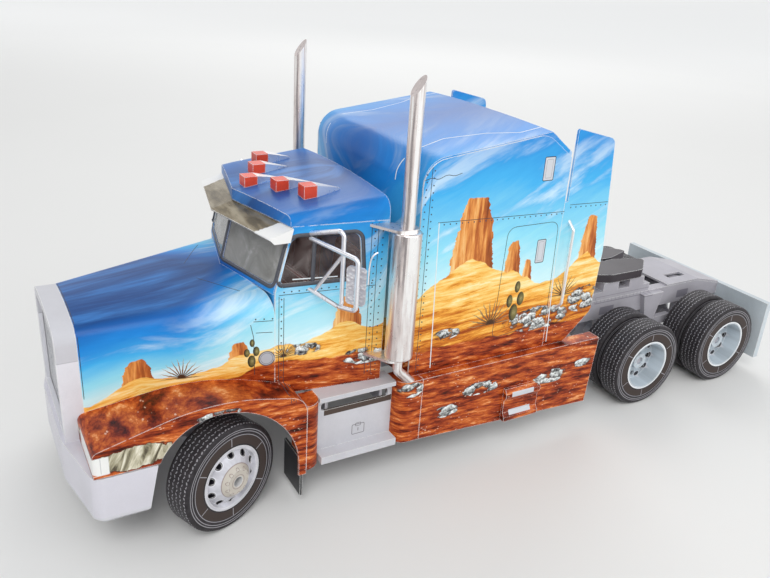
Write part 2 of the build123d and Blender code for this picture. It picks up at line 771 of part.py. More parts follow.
def plan_point(aft, across, height):
    return Vector(station(aft), across, height)


def on_plane(plane, *points):
    flat = [plane.to_local_coords(point) for point in points]
    return [(point.X, point.Y) for point in flat]


lean = Vector(-screen_lean, 0, eave - waist)
apex_foot = plan_point(cab_apex_aft, 0, waist)
corner_foot = plan_point(cab_corner_aft, cab_front_half, waist)
rear_foot = plan_point(cab_rear_aft, cab_rear_half, waist)
side_along = (rear_foot - corner_foot).normalized()
side_wall = Plane(origin=corner_foot, x_dir=side_along, z_dir=side_along.cross(Vector(0, 0, 1)))
screen_along = (corner_foot - apex_foot).normalized()
screen = Plane(origin=apex_foot, x_dir=screen_along, z_dir=screen_along.cross(lean))
corner_way = side_wall.z_dir.cross(screen.z_dir)
corner_top = corner_foot + corner_way * ((eave - waist) / corner_way.Z)
apex_top = apex_foot + lean
wall_length = (rear_foot - corner_foot).length


# The door's window and the windshield's half are each drawn once, for the hole and for the pane
def door_window():
    low, high = door_sill - waist, door_head - waist
    rear = door_window_front + door_window_length
    with BuildSketch() as outline:
        with BuildLine():
            FilletPolyline(
                (door_window_front, low), (door_window_front + door_window_rake, high), (rear - 1.3, high),
                (rear, low), radius=[1.2, 3.0, 2.6, 1.0], close=True)
        make_face()
    return outline.sketch


post = 1.0                   # half-width of the windshield's middle post
with BuildPart() as cab_sides:
    top_x, top_y = on_plane(side_wall, corner_top)[0]
    with BuildSketch(side_wall):
        with BuildLine():
            Polyline(
                (0, body_bottom - waist), (0, 0), (top_x, top_y), (wall_length, top_y),
                (wall_length, body_bottom - waist), close=True)
        make_face()
    extrude(amount=-card)
    with BuildSketch(side_wall):
        add(door_window())
    extrude(amount=-2 * card, mode=Mode.SUBTRACT)
    mirror(about=Plane.XZ)
save(cab_sides, "cab_sides")


def windshield_half():
    corners = on_plane(screen, apex_foot, corner_foot, corner_top, apex_top)
    (x0, y0), (x1, y1), (x2, y2), (x3, y3) = corners
    with BuildSketch() as outline:
        with BuildLine():
            FilletPolyline(
                (x0 + post, y0 + 1.6), (x1 - 1.9, y1 + 1.6), (x2 - 2.1, y2 - 1.6), (x3 + post, y3 - 1.6),
                radius=[0.8, 2.2, 2.2, 0.8], close=True)
        make_face()
    return outline.sketch


# Cab front: the windshield's frame, the ledge behind the hood and the bulkhead below it
with BuildPart() as cab_front:
    with BuildSketch(screen):
        with BuildLine():
            Polyline(*on_plane(screen, apex_foot, corner_foot, corner_top, apex_top), close=True)
        make_face()
    extrude(amount=-card)
    with BuildSketch(screen):
        add(windshield_half())
    extrude(amount=-2 * card, mode=Mode.SUBTRACT)
    with BuildSketch(Plane.XY.offset(waist - card)):
        with BuildLine():
            Polyline(
                (apex_foot.X, 0), (corner_foot.X, cab_front_half), (corner_foot.X - card, cab_front_half),
                (corner_foot.X - card, 0), close=True)
        make_face()
    extrude(amount=card)
    with BuildSketch(cross_plane(cab_corner_aft + card)):
        with Locations((cab_front_half / 2, (waist + body_bottom) / 2)):
            Rectangle(cab_front_half, waist - body_bottom)
    extrude(amount=card)
    split(bisect_by=side_wall.offset(-card), keep=Keep.BOTTOM)
    mirror(about=Plane.XZ)
save(cab_front, "cab_front")

# Windows: film panes set in the frames
with BuildPart() as windshield_panes:
    with BuildSketch(screen.offset(-0.2)):
        add(windshield_half())
    extrude(amount=-thin_card)
    mirror(about=Plane.XZ)
save(windshield_panes, "windshield")
with BuildPart() as door_windows:
    with BuildSketch(side_wall.offset(-0.2)):
        add(door_window())
    extrude(amount=-thin_card)
    mirror(about=Plane.XZ)
save(door_windows, "door_windows")

# Cab back and floor
floor_front = cab_corner_aft + card
floor_rear = cab_rear_aft - card


def between_walls(front, rear):
    with BuildSketch() as outline:
        with BuildLine():
            Polyline(
                (station(front), cab_inner(front)), (station(rear), cab_inner(rear)),
                (station(rear), -cab_inner(rear)), (station(front), -cab_inner(front)), close=True)
        make_face()
    return outline.sketch


with BuildPart() as cab_back:
    with BuildSketch(Plane.XY.offset(body_bottom)):
        add(between_walls(floor_rear, cab_rear_aft))
    extrude(amount=eave - body_bottom)
save(cab_back, "cab_back")
with BuildPart() as cab_floor:
    with BuildSketch(Plane.XY.offset(rail_top)):
        add(between_walls(floor_front, floor_rear))
    extrude(amount=card)
save(cab_floor, "cab_floor")

# Cab roof: a steeper brow and a flatter rear, both crowned, its front cut to the windshield's vee
roof_crown = 1.4
roof_start = cab_apex_aft
brow_aft = roof_start + roof_brow
brow_slope = (roof_middle_rise - roof_front_rise) / roof_brow
roof_slope = (roof_rear_rise - roof_middle_rise) / (cab_rear_aft - brow_aft)


def roof_rise(aft):
    if aft < brow_aft:
        return roof_front_rise + brow_slope * (aft - roof_start)
    return roof_middle_rise + roof_slope * (aft - brow_aft)


def roof_section(aft, inset):
    rise = roof_rise(aft) - inset
    return nose_outline(cab_half(aft) - inset, eave, eave + rise, roof_crown, min(roof_shoulder, rise * 0.7))


roof_overhang = 0.5
with BuildPart() as roof_outer:
    for aft in (roof_start, brow_aft):
        with BuildSketch(cross_plane(aft)):
            add(roof_section(aft, 0))
    loft()
    for aft in (brow_aft, cab_rear_aft):
        with BuildSketch(cross_plane(aft)):
            add(roof_section(aft, 0))
    loft()
    tip = apex_top.X + roof_overhang
    wing = corner_top.X + roof_overhang
    with BuildSketch(Plane.XY.offset(eave)):
        with BuildLine():
            Polyline(
                (tip, 0), (wing, corner_top.Y), (wing, 40), (tip + 20, 40), (tip + 20, -40), (wing, -40),
                (wing, -corner_top.Y), close=True)
        make_face()
    extrude(amount=20, mode=Mode.SUBTRACT)
with BuildPart() as cab_roof:
    add(roof_outer.part)
    for aft in (brow_aft, cab_rear_aft - card):
        with BuildSketch(cross_plane(aft)):
            add(roof_section(aft, card))
    loft(mode=Mode.SUBTRACT)
save(cab_roof, "cab_roof")

# Sun visor: two foil blades under the roof's front edge, with a return at each end
visor_back = [apex_top - Vector(0, 0, 0.3), corner_top - Vector(0, 0, 0.3)]
visor_front = [apex_top + Vector(visor_reach, 0, -2.4), corner_top + Vector(visor_reach, 0.7, -2.6)]
visor_along = (visor_back[1] - visor_back[0]).normalized()
visor_normal = visor_along.cross(visor_back[0] - visor_front[0])
visor_plane = Plane(origin=visor_back[0], x_dir=visor_along, z_dir=visor_normal)
with BuildPart() as visor:
    with BuildSketch(visor_plane):
        with BuildLine():
            Polyline(*on_plane(visor_plane, *visor_back, visor_front[1], visor_front[0]), close=True)
        make_face()
    extrude(amount=-thin_card)
    return_plane = side_plane(corner_top.Y + 0.7)
    with BuildSketch(return_plane):
        with BuildLine():
            Polyline(
                (corner_top.X, corner_top.Z - 0.3), (visor_front[1].X, visor_front[1].Z),
                (visor_front[1].X - 1.5, visor_front[1].Z - 1.6),
                (corner_top.X, corner_top.Z - visor_drop), close=True)
        make_face()
    extrude(amount=thin_card)
    split(bisect_by=screen, keep=Keep.TOP)
    split(bisect_by=Plane.XZ, keep=Keep.BOTTOM)
    mirror(about=Plane.XZ)
save(visor, "visor")

# Roof lamps: five lens blocks in a vee, each with a tapered tail, seated on the roof
lamp_places = [(7.2, 0.0), (13.2, 9.2), (13.2, -9.2), (17.8, 18.5), (17.8, -18.5)]   # aft of apex, across
lamp_width = 4.4
lamp_length = 4.0
lamp_rise = 3.1
tail_length = 8.0
tail_width = 0.5


def roof_height(behind_apex):
    return eave + roof_rise(roof_start + behind_apex) + roof_crown


with BuildPart() as roof_lamps:
    for aft, across in lamp_places:
        lamp_x = station(roof_start + aft + lamp_length / 2)
        with Locations((lamp_x, across, roof_height(aft) + lamp_rise / 2 - 1)):
            Box(lamp_length, lamp_width, lamp_rise + 2)
    add(roof_outer.part, mode=Mode.SUBTRACT)
save(roof_lamps, "roof_lamps")
with BuildPart() as lamp_tails:
    for aft, across in lamp_places:
        front = roof_start + aft + lamp_length
        top = roof_height(aft) + lamp_rise
        with BuildSketch(Plane.YZ.offset(station(front))):
            with Locations((across, top - 2.2)):
                Rectangle(lamp_width, 4.4)
        with BuildSketch(Plane.YZ.offset(station(front + tail_length))):
            with Locations((across, roof_height(front + tail_length - roof_start) - 1.7)):
                Rectangle(tail_width, 3.4)
        loft()
    add(roof_outer.part, mode=Mode.SUBTRACT)
save(lamp_tails, "lamp_tails")

# Cab interior: a dashboard, a steering wheel on its column and two seats
seat_cushion_top = rail_top + seat_height
seat_back_top = rail_top + seat_back
seat_aft = cab_corner_aft + seat_behind
seat_front_aft = seat_aft - seat_front
floor_top = rail_top + card
dash_bottom = waist - dash_drop
with BuildPart() as dashboard:
    with BuildSketch(Plane.XZ):
        with BuildLine():
            Polyline(
                (station(floor_front), dash_bottom), (station(floor_front), waist - card),
                (station(floor_front + 0.7 * dash_reach), waist - card),
                (station(floor_front + dash_reach), waist - 5),
                (station(floor_front + 0.8 * dash_reach), dash_bottom), close=True)
        make_face()
    extrude(amount=cab_half(floor_front) - card - 0.4, both=True)
save(dashboard, "dashboard")
column_foot = Vector(station(floor_front + 0.9 * dash_reach), driver_across, waist - column_drop)
column_top = Vector(station(floor_front + 1.45 * dash_reach), driver_across, waist - 2)
wheel_plane = Plane(origin=column_top, z_dir=column_top - column_foot)
with BuildPart() as steering_wheel:
    with BuildSketch(wheel_plane):
        Circle(wheel_radius)
        Circle(wheel_radius - 0.9, mode=Mode.SUBTRACT)
        Rectangle(2 * wheel_radius - 1, 1.2)
        Rectangle(1.2, 2 * wheel_radius - 1)
    extrude(amount=card)
    with BuildSketch(wheel_plane):
        Circle(card)
    extrude(amount=-(column_top - column_foot).length)
    add(dashboard.part, mode=Mode.SUBTRACT)
save(steering_wheel, "steering_wheel")
with BuildPart() as seats:
    with BuildSketch(side_plane(driver_across + seat_width / 2)):
        with BuildLine():
            FilletPolyline(
                (station(seat_front_aft), floor_top), (station(seat_front_aft), seat_cushion_top - 1.5),
                (station(seat_aft + 4), seat_cushion_top - 3), (station(seat_aft + 7), seat_back_top),
                (station(seat_front_aft + seat_depth), seat_back_top),
                (station(seat_aft + 8), floor_top), radius=[0, 1.5, 0.8, 1.2, 1.2, 0], close=True)
        make_face()
    extrude(amount=seat_width)
    mirror(about=Plane.XZ)
save(seats, "seats")

# Sleeper: a shell with a bowed front and a rounded nose, flat sides laid on it, a back and a floor
nose_foot = station(sleeper_front_aft)
tail_x = station(sleeper_rear_aft)
back_x = tail_x + card
knee_x = tail_x + sleeper_tail
knee_radius = 8.0
shell_half = sleeper_half - thin_card


def sleeper_plan(inset):
    front = nose_foot - inset
    side = shell_half - inset
    with BuildSketch() as outline:
        with BuildLine():
            FilletPolyline(
                (tail_x, side), (front - sleeper_bow, side), (front, sleeper_flat), (front, -sleeper_flat),
                (front - sleeper_bow, -side), (tail_x, -side),
                radius=[0, 0, sleeper_sweep, sleeper_sweep, 0, 0], close=True)
        make_face()
    return outline.sketch


# The roof's line across the truck at a place along it
def crown_section(place, inset):
    slope = (sleeper_rear_top - sleeper_front_top) / (nose_foot - knee_x)
    top = sleeper_front_top + slope * (nose_foot - place) - inset
    with BuildSketch() as outline:
        with BuildLine():
            Polyline(
                (sleeper_half, top), (sleeper_half, body_bottom), (-sleeper_half, body_bottom),
                (-sleeper_half, top))
            ThreePointArc((-sleeper_half, top), (0, top + sleeper_crown), (sleeper_half, top))
        make_face()
    return outline.sketch


def sleeper_solid(inset):
    top_rear = sleeper_rear_top + sleeper_crown - inset
    with BuildPart() as solid:
        with BuildSketch(Plane.XY.offset(body_bottom)):
            add(sleeper_plan(inset))
        extrude(amount=top_rear - body_bottom)
        for place in (nose_foot + card, tail_x):
            with BuildSketch(Plane.YZ.offset(place)):
                add(crown_section(place, inset))
        loft(mode=Mode.INTERSECT)
        with BuildSketch(side_plane(sleeper_half)):
            with BuildLine():
                FilletPolyline(
                    (knee_x + sleeper_length / 2, top_rear + sleeper_fall), (knee_x, top_rear),
                    (tail_x, top_rear - sleeper_fall), (tail_x, top_rear + sleeper_fall),
                    radius=[0, knee_radius, 0, 0], close=True)
            make_face()
        extrude(amount=2 * sleeper_half, mode=Mode.SUBTRACT)
        brow_x = nose_foot - sleeper_bow - 2 * card
        high = solid.edges().filter_by(lambda edge: edge.center().Z > sleeper_front_top - 3)
        fillet([edge for edge in high if edge.center().X > brow_x], sleeper_nose_radius - inset)
    return solid.part


sleeper_outer = sleeper_solid(0)
sleeper_hollow = sleeper_solid(card)
with BuildPart() as sleeper_shell:
    add(sleeper_outer)
    split(bisect_by=Plane.YZ.offset(back_x), keep=Keep.TOP)
    add(sleeper_hollow, mode=Mode.SUBTRACT)
save(sleeper_shell, "sleeper_shell")
panel_front = nose_foot - sleeper_bow
panel_drop = 0.3             # the panels' edge below the shell's
with BuildPart() as sleeper_sides:
    with BuildSketch(side_plane(sleeper_half)):
        with BuildLine():
            FilletPolyline(
                (panel_front, body_bottom), (panel_front, sleeper_front_top),
                (knee_x, sleeper_rear_top - panel_drop), (tail_x, sleeper_rear_top - sleeper_fall),
                (tail_x, body_bottom), radius=[0, sleeper_nose_radius, knee_radius, 0, 0], close=True)
        make_face()
    extrude(amount=thin_card)
    mirror(about=Plane.XZ)
save(sleeper_sides, "sleeper_sides")
with BuildPart() as sleeper_back:
    add(sleeper_outer)
    split(bisect_by=Plane.YZ.offset(back_x), keep=Keep.BOTTOM)
save(sleeper_back, "sleeper_back")
with BuildPart() as sleeper_floor:
    with BuildSketch(Plane.XY.offset(rail_top)):
        add(sleeper_plan(card))
    extrude(amount=card)
    split(bisect_by=Plane.YZ.offset(back_x), keep=Keep.TOP)
save(sleeper_floor, "sleeper_floor")

# Side extenders: plates behind the sleeper's sides, each with a flange on the back
extender_slit_foot = eave
flange_width = 5.0
with BuildPart() as extenders:
    with BuildSketch(side_plane(sleeper_half)):
        with BuildLine():
            FilletPolyline(
                (tail_x, body_bottom), (tail_x, extender_slit_foot),
                (tail_x - extender_slit, extender_slit_foot), (tail_x - extender_slit, extender_top),
                (station(extender_rear_aft - 3.5), extender_top - 4),
                (station(extender_rear_aft), waist), (station(extender_rear_aft - 0.9), body_bottom + 10),
                (station(extender_rear_aft - 11.7), body_bottom),
                radius=[0, 0, 0, 0.8, 2.5, 8, 3, 0], close=True)
        make_face()
    extrude(amount=card)
    with Locations((tail_x - card / 2, sleeper_half - flange_width / 2, (rail_top + extender_slit_foot) / 2)):
        Box(card, flange_width, extender_slit_foot - rail_top)
    mirror(about=Plane.XZ)
save(extenders, "extenders")

# Grab handles: a bent rod on each extender
with BuildPart() as grab_handles:
    with BuildLine(cross_plane(sleeper_rear_aft + handle_lead)) as handle_line:
        FilletPolyline(
            (sleeper_half - 0.6, handle_top + 0.5), (sleeper_half + handle_reach, handle_top - 2),
            (sleeper_half + handle_reach, handle_bottom + 2), (sleeper_half - 0.6, handle_bottom - 0.5),
            radius=1.4)
    with BuildSketch(Plane(origin=handle_line.line @ 0, z_dir=handle_line.line % 0)):
        Circle(handle_rod)
    sweep()
    split(bisect_by=side_plane(sleeper_half), keep=Keep.BOTTOM)
    mirror(about=Plane.XZ)
save(grab_handles, "grab_handles")

# Skirts: a folded panel under each side, open inwards and below, with a box of two steps
skirt_inner = 33.0
with BuildPart() as skirts:
    with BuildSketch(side_plane(skirt_half)):
        with BuildLine():
            Polyline(
                (station(skirt_front_aft), skirt_front_bottom), (station(skirt_front_aft), body_bottom),
                (station(skirt_rear_aft), body_bottom), (station(skirt_rear_aft - 1.9), skirt_rear_bottom),
                close=True)
        make_face()
    extrude(amount=skirt_half - skirt_inner)
    inner_face = skirts.faces().sort_by(Axis.Y)[0]
    bottom_face = skirts.faces().sort_by(Axis.Z)[0]
    offset(amount=-card, openings=[inner_face, bottom_face])
    mirror(about=Plane.XZ)
save(skirts, "skirts")
lip = skirt_step_drop / 8
step_foot = skirt_step_top - skirt_step_drop
with BuildPart() as skirt_steps:
    with BuildSketch(cross_plane(skirt_front_aft + skirt_step_lead + skirt_step_length)):
        with BuildLine():
            Polyline(
                (skirt_half, skirt_step_top), (skirt_half + 1, skirt_step_top),
                (skirt_half + 2, skirt_step_top - lip), (skirt_half + 2, skirt_step_top - 2 * lip),
                (skirt_half + 1, skirt_step_top - 3 * lip), (skirt_half + 1, skirt_step_top - 6 * lip),
                (skirt_half + 2, skirt_step_top - 7 * lip), (skirt_half + 2, step_foot), (skirt_half, step_foot),
                close=True)
        make_face()
    extrude(amount=skirt_step_length)
    mirror(about=Plane.XZ)
save(skirt_steps, "skirt_steps")

# Cab steps: a C-shaped fold with a ledge, a slot and a deep tread, between two rounded fairings
ledge_reach = 2.2
ledge_thick = 1.4
step_wall = step_inner - card
with BuildPart() as steps:
    with BuildSketch(cross_plane(step_rear_aft)):
        with BuildLine():
            Polyline(
                (cab_front_half, body_bottom), (step_inner + ledge_reach, body_bottom),
                (step_inner + ledge_reach, body_bottom - ledge_thick),
                (step_inner, body_bottom - ledge_thick),
                (step_inner, tread_height + tread_thick), (skirt_half, tread_height + tread_thick),
                (skirt_half, tread_height), (step_wall, tread_height), (step_wall, body_bottom - card),
                (cab_front_half, body_bottom - card), close=True)
        make_face()
    extrude(amount=step_rear_aft - step_front_aft)
    with BuildSketch(side_plane(step_inner)):
        with Locations((station((step_front_aft + step_rear_aft) / 2), body_bottom - 4.4)):
            RectangleRounded(step_rear_aft - step_front_aft - 2.8, 2.6, card)
    extrude(amount=card, mode=Mode.SUBTRACT)
    mirror(about=Plane.XZ)
save(steps, "steps")
fairing_inner = 30.0
fairing_radius = skirt_half - step_inner


def make_fairing(front, rear, radii):
    with BuildPart() as fairing:
        with BuildSketch(Plane.XY.offset(fairing_bottom)):
            with BuildLine():
                FilletPolyline(
                    (station(front), fairing_inner), (station(front), skirt_half),
                    (station(rear), skirt_half), (station(rear), fairing_inner), radius=radii, close=True)
            make_face()
        extrude(amount=body_bottom - fairing_bottom)
        inner_face = fairing.faces().sort_by(Axis.Y)[0]
        bottom_face = fairing.faces().sort_by(Axis.Z)[0]
        offset(amount=-card, openings=[inner_face, bottom_face])
    return fairing.part


front_piece = make_fairing(fender_rear_aft, step_front_aft, [0, 0, fairing_radius, 0])
rear_piece = make_fairing(step_rear_aft, skirt_front_aft, [0, fairing_radius, 0, 0])
with BuildPart() as corner_fairings:
    add([front_piece, rear_piece])
    mirror(about=Plane.XZ)
save(corner_fairings, "corner_fairings")

# Side brackets: plates from the rails out to the steps and the skirts
bracket_height = 5.6
bracket_places = [
    (step_front_aft + 3.5, step_wall), (step_rear_aft - 3.5, step_wall),
    (skirt_front_aft + 8, skirt_half - card), (skirt_rear_aft - 8, skirt_half - card)]
with BuildPart() as side_brackets:
    for aft, reach in bracket_places:
        with Locations((station(aft), (rail_outside + reach) / 2, rail_bottom + bracket_height / 2)):
            Box(card, reach - rail_outside, bracket_height)
    mirror(about=Plane.XZ)
save(side_brackets, "side_brackets")

# Exhausts: a muffler, a stack with a slash-cut end and an elbow that lands on the rear fairing
muffler_x = station(muffler_aft)
with BuildPart() as exhausts:
    with BuildSketch(Plane.XY.offset(muffler_bottom)):
        with Locations((muffler_x, muffler_across)):
            Circle(muffler_radius)
    extrude(amount=muffler_top - muffler_bottom)
    fillet(exhausts.edges().filter_by(GeomType.CIRCLE), 0.8)
    with BuildSketch(Plane.XY.offset(muffler_top)):
        with Locations((muffler_x, muffler_across)):
            Circle(stack_radius)
    extrude(amount=stack_top - muffler_top)
    slash = Plane(
        origin=(muffler_x - stack_radius, muffler_across, stack_top), x_dir=(0, 1, 0),
        z_dir=(stack_slash, 0, 2 * stack_radius))
    split(bisect_by=slash, keep=Keep.BOTTOM)
    with BuildLine() as elbow_line:
        FilletPolyline(
            (muffler_x, muffler_across, muffler_bottom + 0.1), (muffler_x, muffler_across, elbow_height),
            (muffler_x - elbow_run, elbow_across, body_bottom - 1.0), radius=3.0)
    with BuildSketch(Plane(origin=elbow_line.line @ 0, z_dir=elbow_line.line % 0)):
        Circle(elbow_radius)
    sweep()
    split(bisect_by=Plane.XY.offset(body_bottom), keep=Keep.TOP)
    mirror(about=Plane.XZ)
save(exhausts, "exhausts")

# Exhaust brackets: plates from the cab's rear corner, over and under each muffler
bracket_aft = cab_rear_aft - bracket_length
plate_front = muffler_x + 3.6
plate_rear = muffler_x - 3.2
plate_half = 2.2
with BuildPart() as exhaust_brackets:
    for level, hole in ((muffler_top, stack_radius), (muffler_bottom - card, elbow_radius)):
        with BuildSketch(Plane.XY.offset(level)):
            with BuildLine():
                FilletPolyline(
                    (station(bracket_aft), cab_half(bracket_aft)),
                    (plate_front, muffler_across + plate_half), (plate_rear, muffler_across + plate_half),
                    (plate_rear, muffler_across - plate_half), (station(cab_rear_aft), cab_rear_half),
                    radius=[0, 3.0, 2.0, 1.0, 0], close=True)
            make_face()
            with Locations((muffler_x, muffler_across)):
                Circle(hole + bore_play, mode=Mode.SUBTRACT)
        extrude(amount=card)
    mirror(about=Plane.XZ)
save(exhaust_brackets, "exhaust_brackets")


# A plane that stands upright through two places in plan, x towards the second
def upright_plane(foot, head):
    along = Vector(head[0] - foot[0], head[1] - foot[1], 0)
    return Plane(origin=(foot[0], foot[1], 0), x_dir=along, z_dir=along.cross(Vector(0, 0, 1)))


# Mirror frames: rods from two feet on the cab's wall to a near post and on to a far post
foot_aft = cab_corner_aft + mirror_foot
foot_place = (station(foot_aft), cab_half(foot_aft))
near_place = (foot_place[0] - near_post[0], foot_place[1] + near_post[1])
far_place = (foot_place[0] - far_post[0], foot_place[1] + far_post[1])
near_reach = (Vector(*near_place) - Vector(*foot_place)).length
whole_reach = (Vector(*far_place) - Vector(*foot_place)).length
wall_overlap = -1.0
top_foot = door_head + 0.7
low_foot = waist + 0.4
near_plane = upright_plane(foot_place, near_place)
far_plane = upright_plane(foot_place, far_place)
near_loop = [
    (wall_overlap, top_foot), (near_reach, eave + 1.2), (near_reach, waist - 2.4), (wall_overlap, low_foot)]
far_loop = [
    (wall_overlap, top_foot - 1.2), (whole_reach, eave - 5.2), (whole_reach, waist - 1.0),
    (near_reach, waist - 1.6)]
brace = [(near_reach * 0.15, low_foot), (near_reach, eave - 5.6)]
with BuildPart() as mirror_frames:
    for rod_plane, corners, bend, thickness in (
            (near_plane, near_loop, 1.5, mirror_rod), (far_plane, far_loop, 1.5, mirror_rod),
            (near_plane, brace, 0, mirror_rod * 0.8)):
        with BuildLine(rod_plane) as rod_line:
            FilletPolyline(*corners, radius=bend) if bend else Line(*corners)
        with BuildSketch(Plane(origin=rod_line.line @ 0, z_dir=rod_line.line % 0)):
            Circle(thickness)
        sweep()
    split(bisect_by=side_wall, keep=Keep.TOP)
    mirror(about=Plane.XZ)
save(mirror_frames, "mirror_frames")

# Mirrors: a plate on each far post, turned towards the driver
mirror_start = (near_place[0] - 1.4, near_place[1] + 0.4)
mirror_plane = upright_plane(mirror_start, (mirror_start[0] - 4.2, mirror_start[1] + 5.5))
with BuildPart() as mirrors:
    with BuildSketch(mirror_plane):
        with Locations((mirror_width / 2, waist - 0.4 + mirror_height / 2)):
            RectangleRounded(mirror_width, mirror_height, 1.0)
    extrude(amount=mirror_thick)
    mirror(about=Plane.XZ)
save(mirrors, "mirrors")

# Rear mudflaps: shallow trays that hang from a crossbar on the rails' ends
with BuildPart() as rear_mudflaps:
    with BuildSketch(cross_plane(rail_rear_aft + flap_depth)):
        with BuildLine():
            Polyline(
                (-flap_inner, flap_high - crossbar_height), (flap_inner, flap_high - crossbar_height),
                (flap_inner, flap_low), (flap_outer, flap_low), (flap_outer, flap_high),
                (-flap_outer, flap_high), (-flap_outer, flap_low), (-flap_inner, flap_low), close=True)
        make_face()
    extrude(amount=flap_depth)
    offset(amount=-card, openings=rear_mudflaps.faces().sort_by(Axis.X)[0])
save(rear_mudflaps, "rear_mudflaps")
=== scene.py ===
import math

import bmesh
import bpy
from mathutils import Matrix, Vector
from mathutils.geometry import convex_hull_2d


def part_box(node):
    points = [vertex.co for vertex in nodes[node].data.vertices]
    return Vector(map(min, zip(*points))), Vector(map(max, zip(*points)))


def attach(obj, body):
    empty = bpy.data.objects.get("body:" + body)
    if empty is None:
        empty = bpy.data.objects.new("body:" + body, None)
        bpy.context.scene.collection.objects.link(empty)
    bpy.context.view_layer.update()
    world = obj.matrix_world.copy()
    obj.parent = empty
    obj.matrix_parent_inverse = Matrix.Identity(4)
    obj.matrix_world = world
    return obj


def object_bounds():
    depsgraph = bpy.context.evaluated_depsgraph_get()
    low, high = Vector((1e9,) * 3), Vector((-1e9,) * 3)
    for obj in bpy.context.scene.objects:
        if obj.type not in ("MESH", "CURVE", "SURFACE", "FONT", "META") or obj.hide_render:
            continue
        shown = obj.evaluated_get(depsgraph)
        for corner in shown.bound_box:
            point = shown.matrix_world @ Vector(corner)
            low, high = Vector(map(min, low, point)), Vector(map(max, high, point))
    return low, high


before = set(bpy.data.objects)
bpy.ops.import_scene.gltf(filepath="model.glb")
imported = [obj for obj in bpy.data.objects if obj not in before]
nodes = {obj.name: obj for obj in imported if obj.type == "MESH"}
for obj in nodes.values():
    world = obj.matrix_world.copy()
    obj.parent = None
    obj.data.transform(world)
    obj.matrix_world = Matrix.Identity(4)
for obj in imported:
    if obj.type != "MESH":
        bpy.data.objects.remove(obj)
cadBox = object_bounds()
mm = 0.001
noseX = cadBox[1][0] / mm  # front of the bumper; places along the truck are distances aft of it


# Maths on sockets: a Wire is an output socket that takes + - * / ** and abs
class Wire:
    def __init__(self, board, socket):
        self.board = board
        self.socket = socket

    def calc(self, operation, *others):
        return self.board.node("ShaderNodeMath", {"operation": operation}, dict(enumerate((self, *others))))

    def flipped(self, operation, other):
        return self.board.node("ShaderNodeMath", {"operation": operation}, {0: other, 1: self})

    def __add__(self, other):
        return self.calc("ADD", other)

    def __radd__(self, other):
        return self.calc("ADD", other)

    def __sub__(self, other):
        return self.calc("SUBTRACT", other)

    def __rsub__(self, other):
        return self.flipped("SUBTRACT", other)

    def __mul__(self, other):
        return self.calc("MULTIPLY", other)

    def __rmul__(self, other):
        return self.calc("MULTIPLY", other)

    def __truediv__(self, other):
        return self.calc("DIVIDE", other)

    def __rtruediv__(self, other):
        return self.flipped("DIVIDE", other)

    def __pow__(self, other):
        return self.calc("POWER", other)

    def __neg__(self):
        return self.calc("MULTIPLY", -1.0)

    def __abs__(self):
        return self.calc("ABSOLUTE")


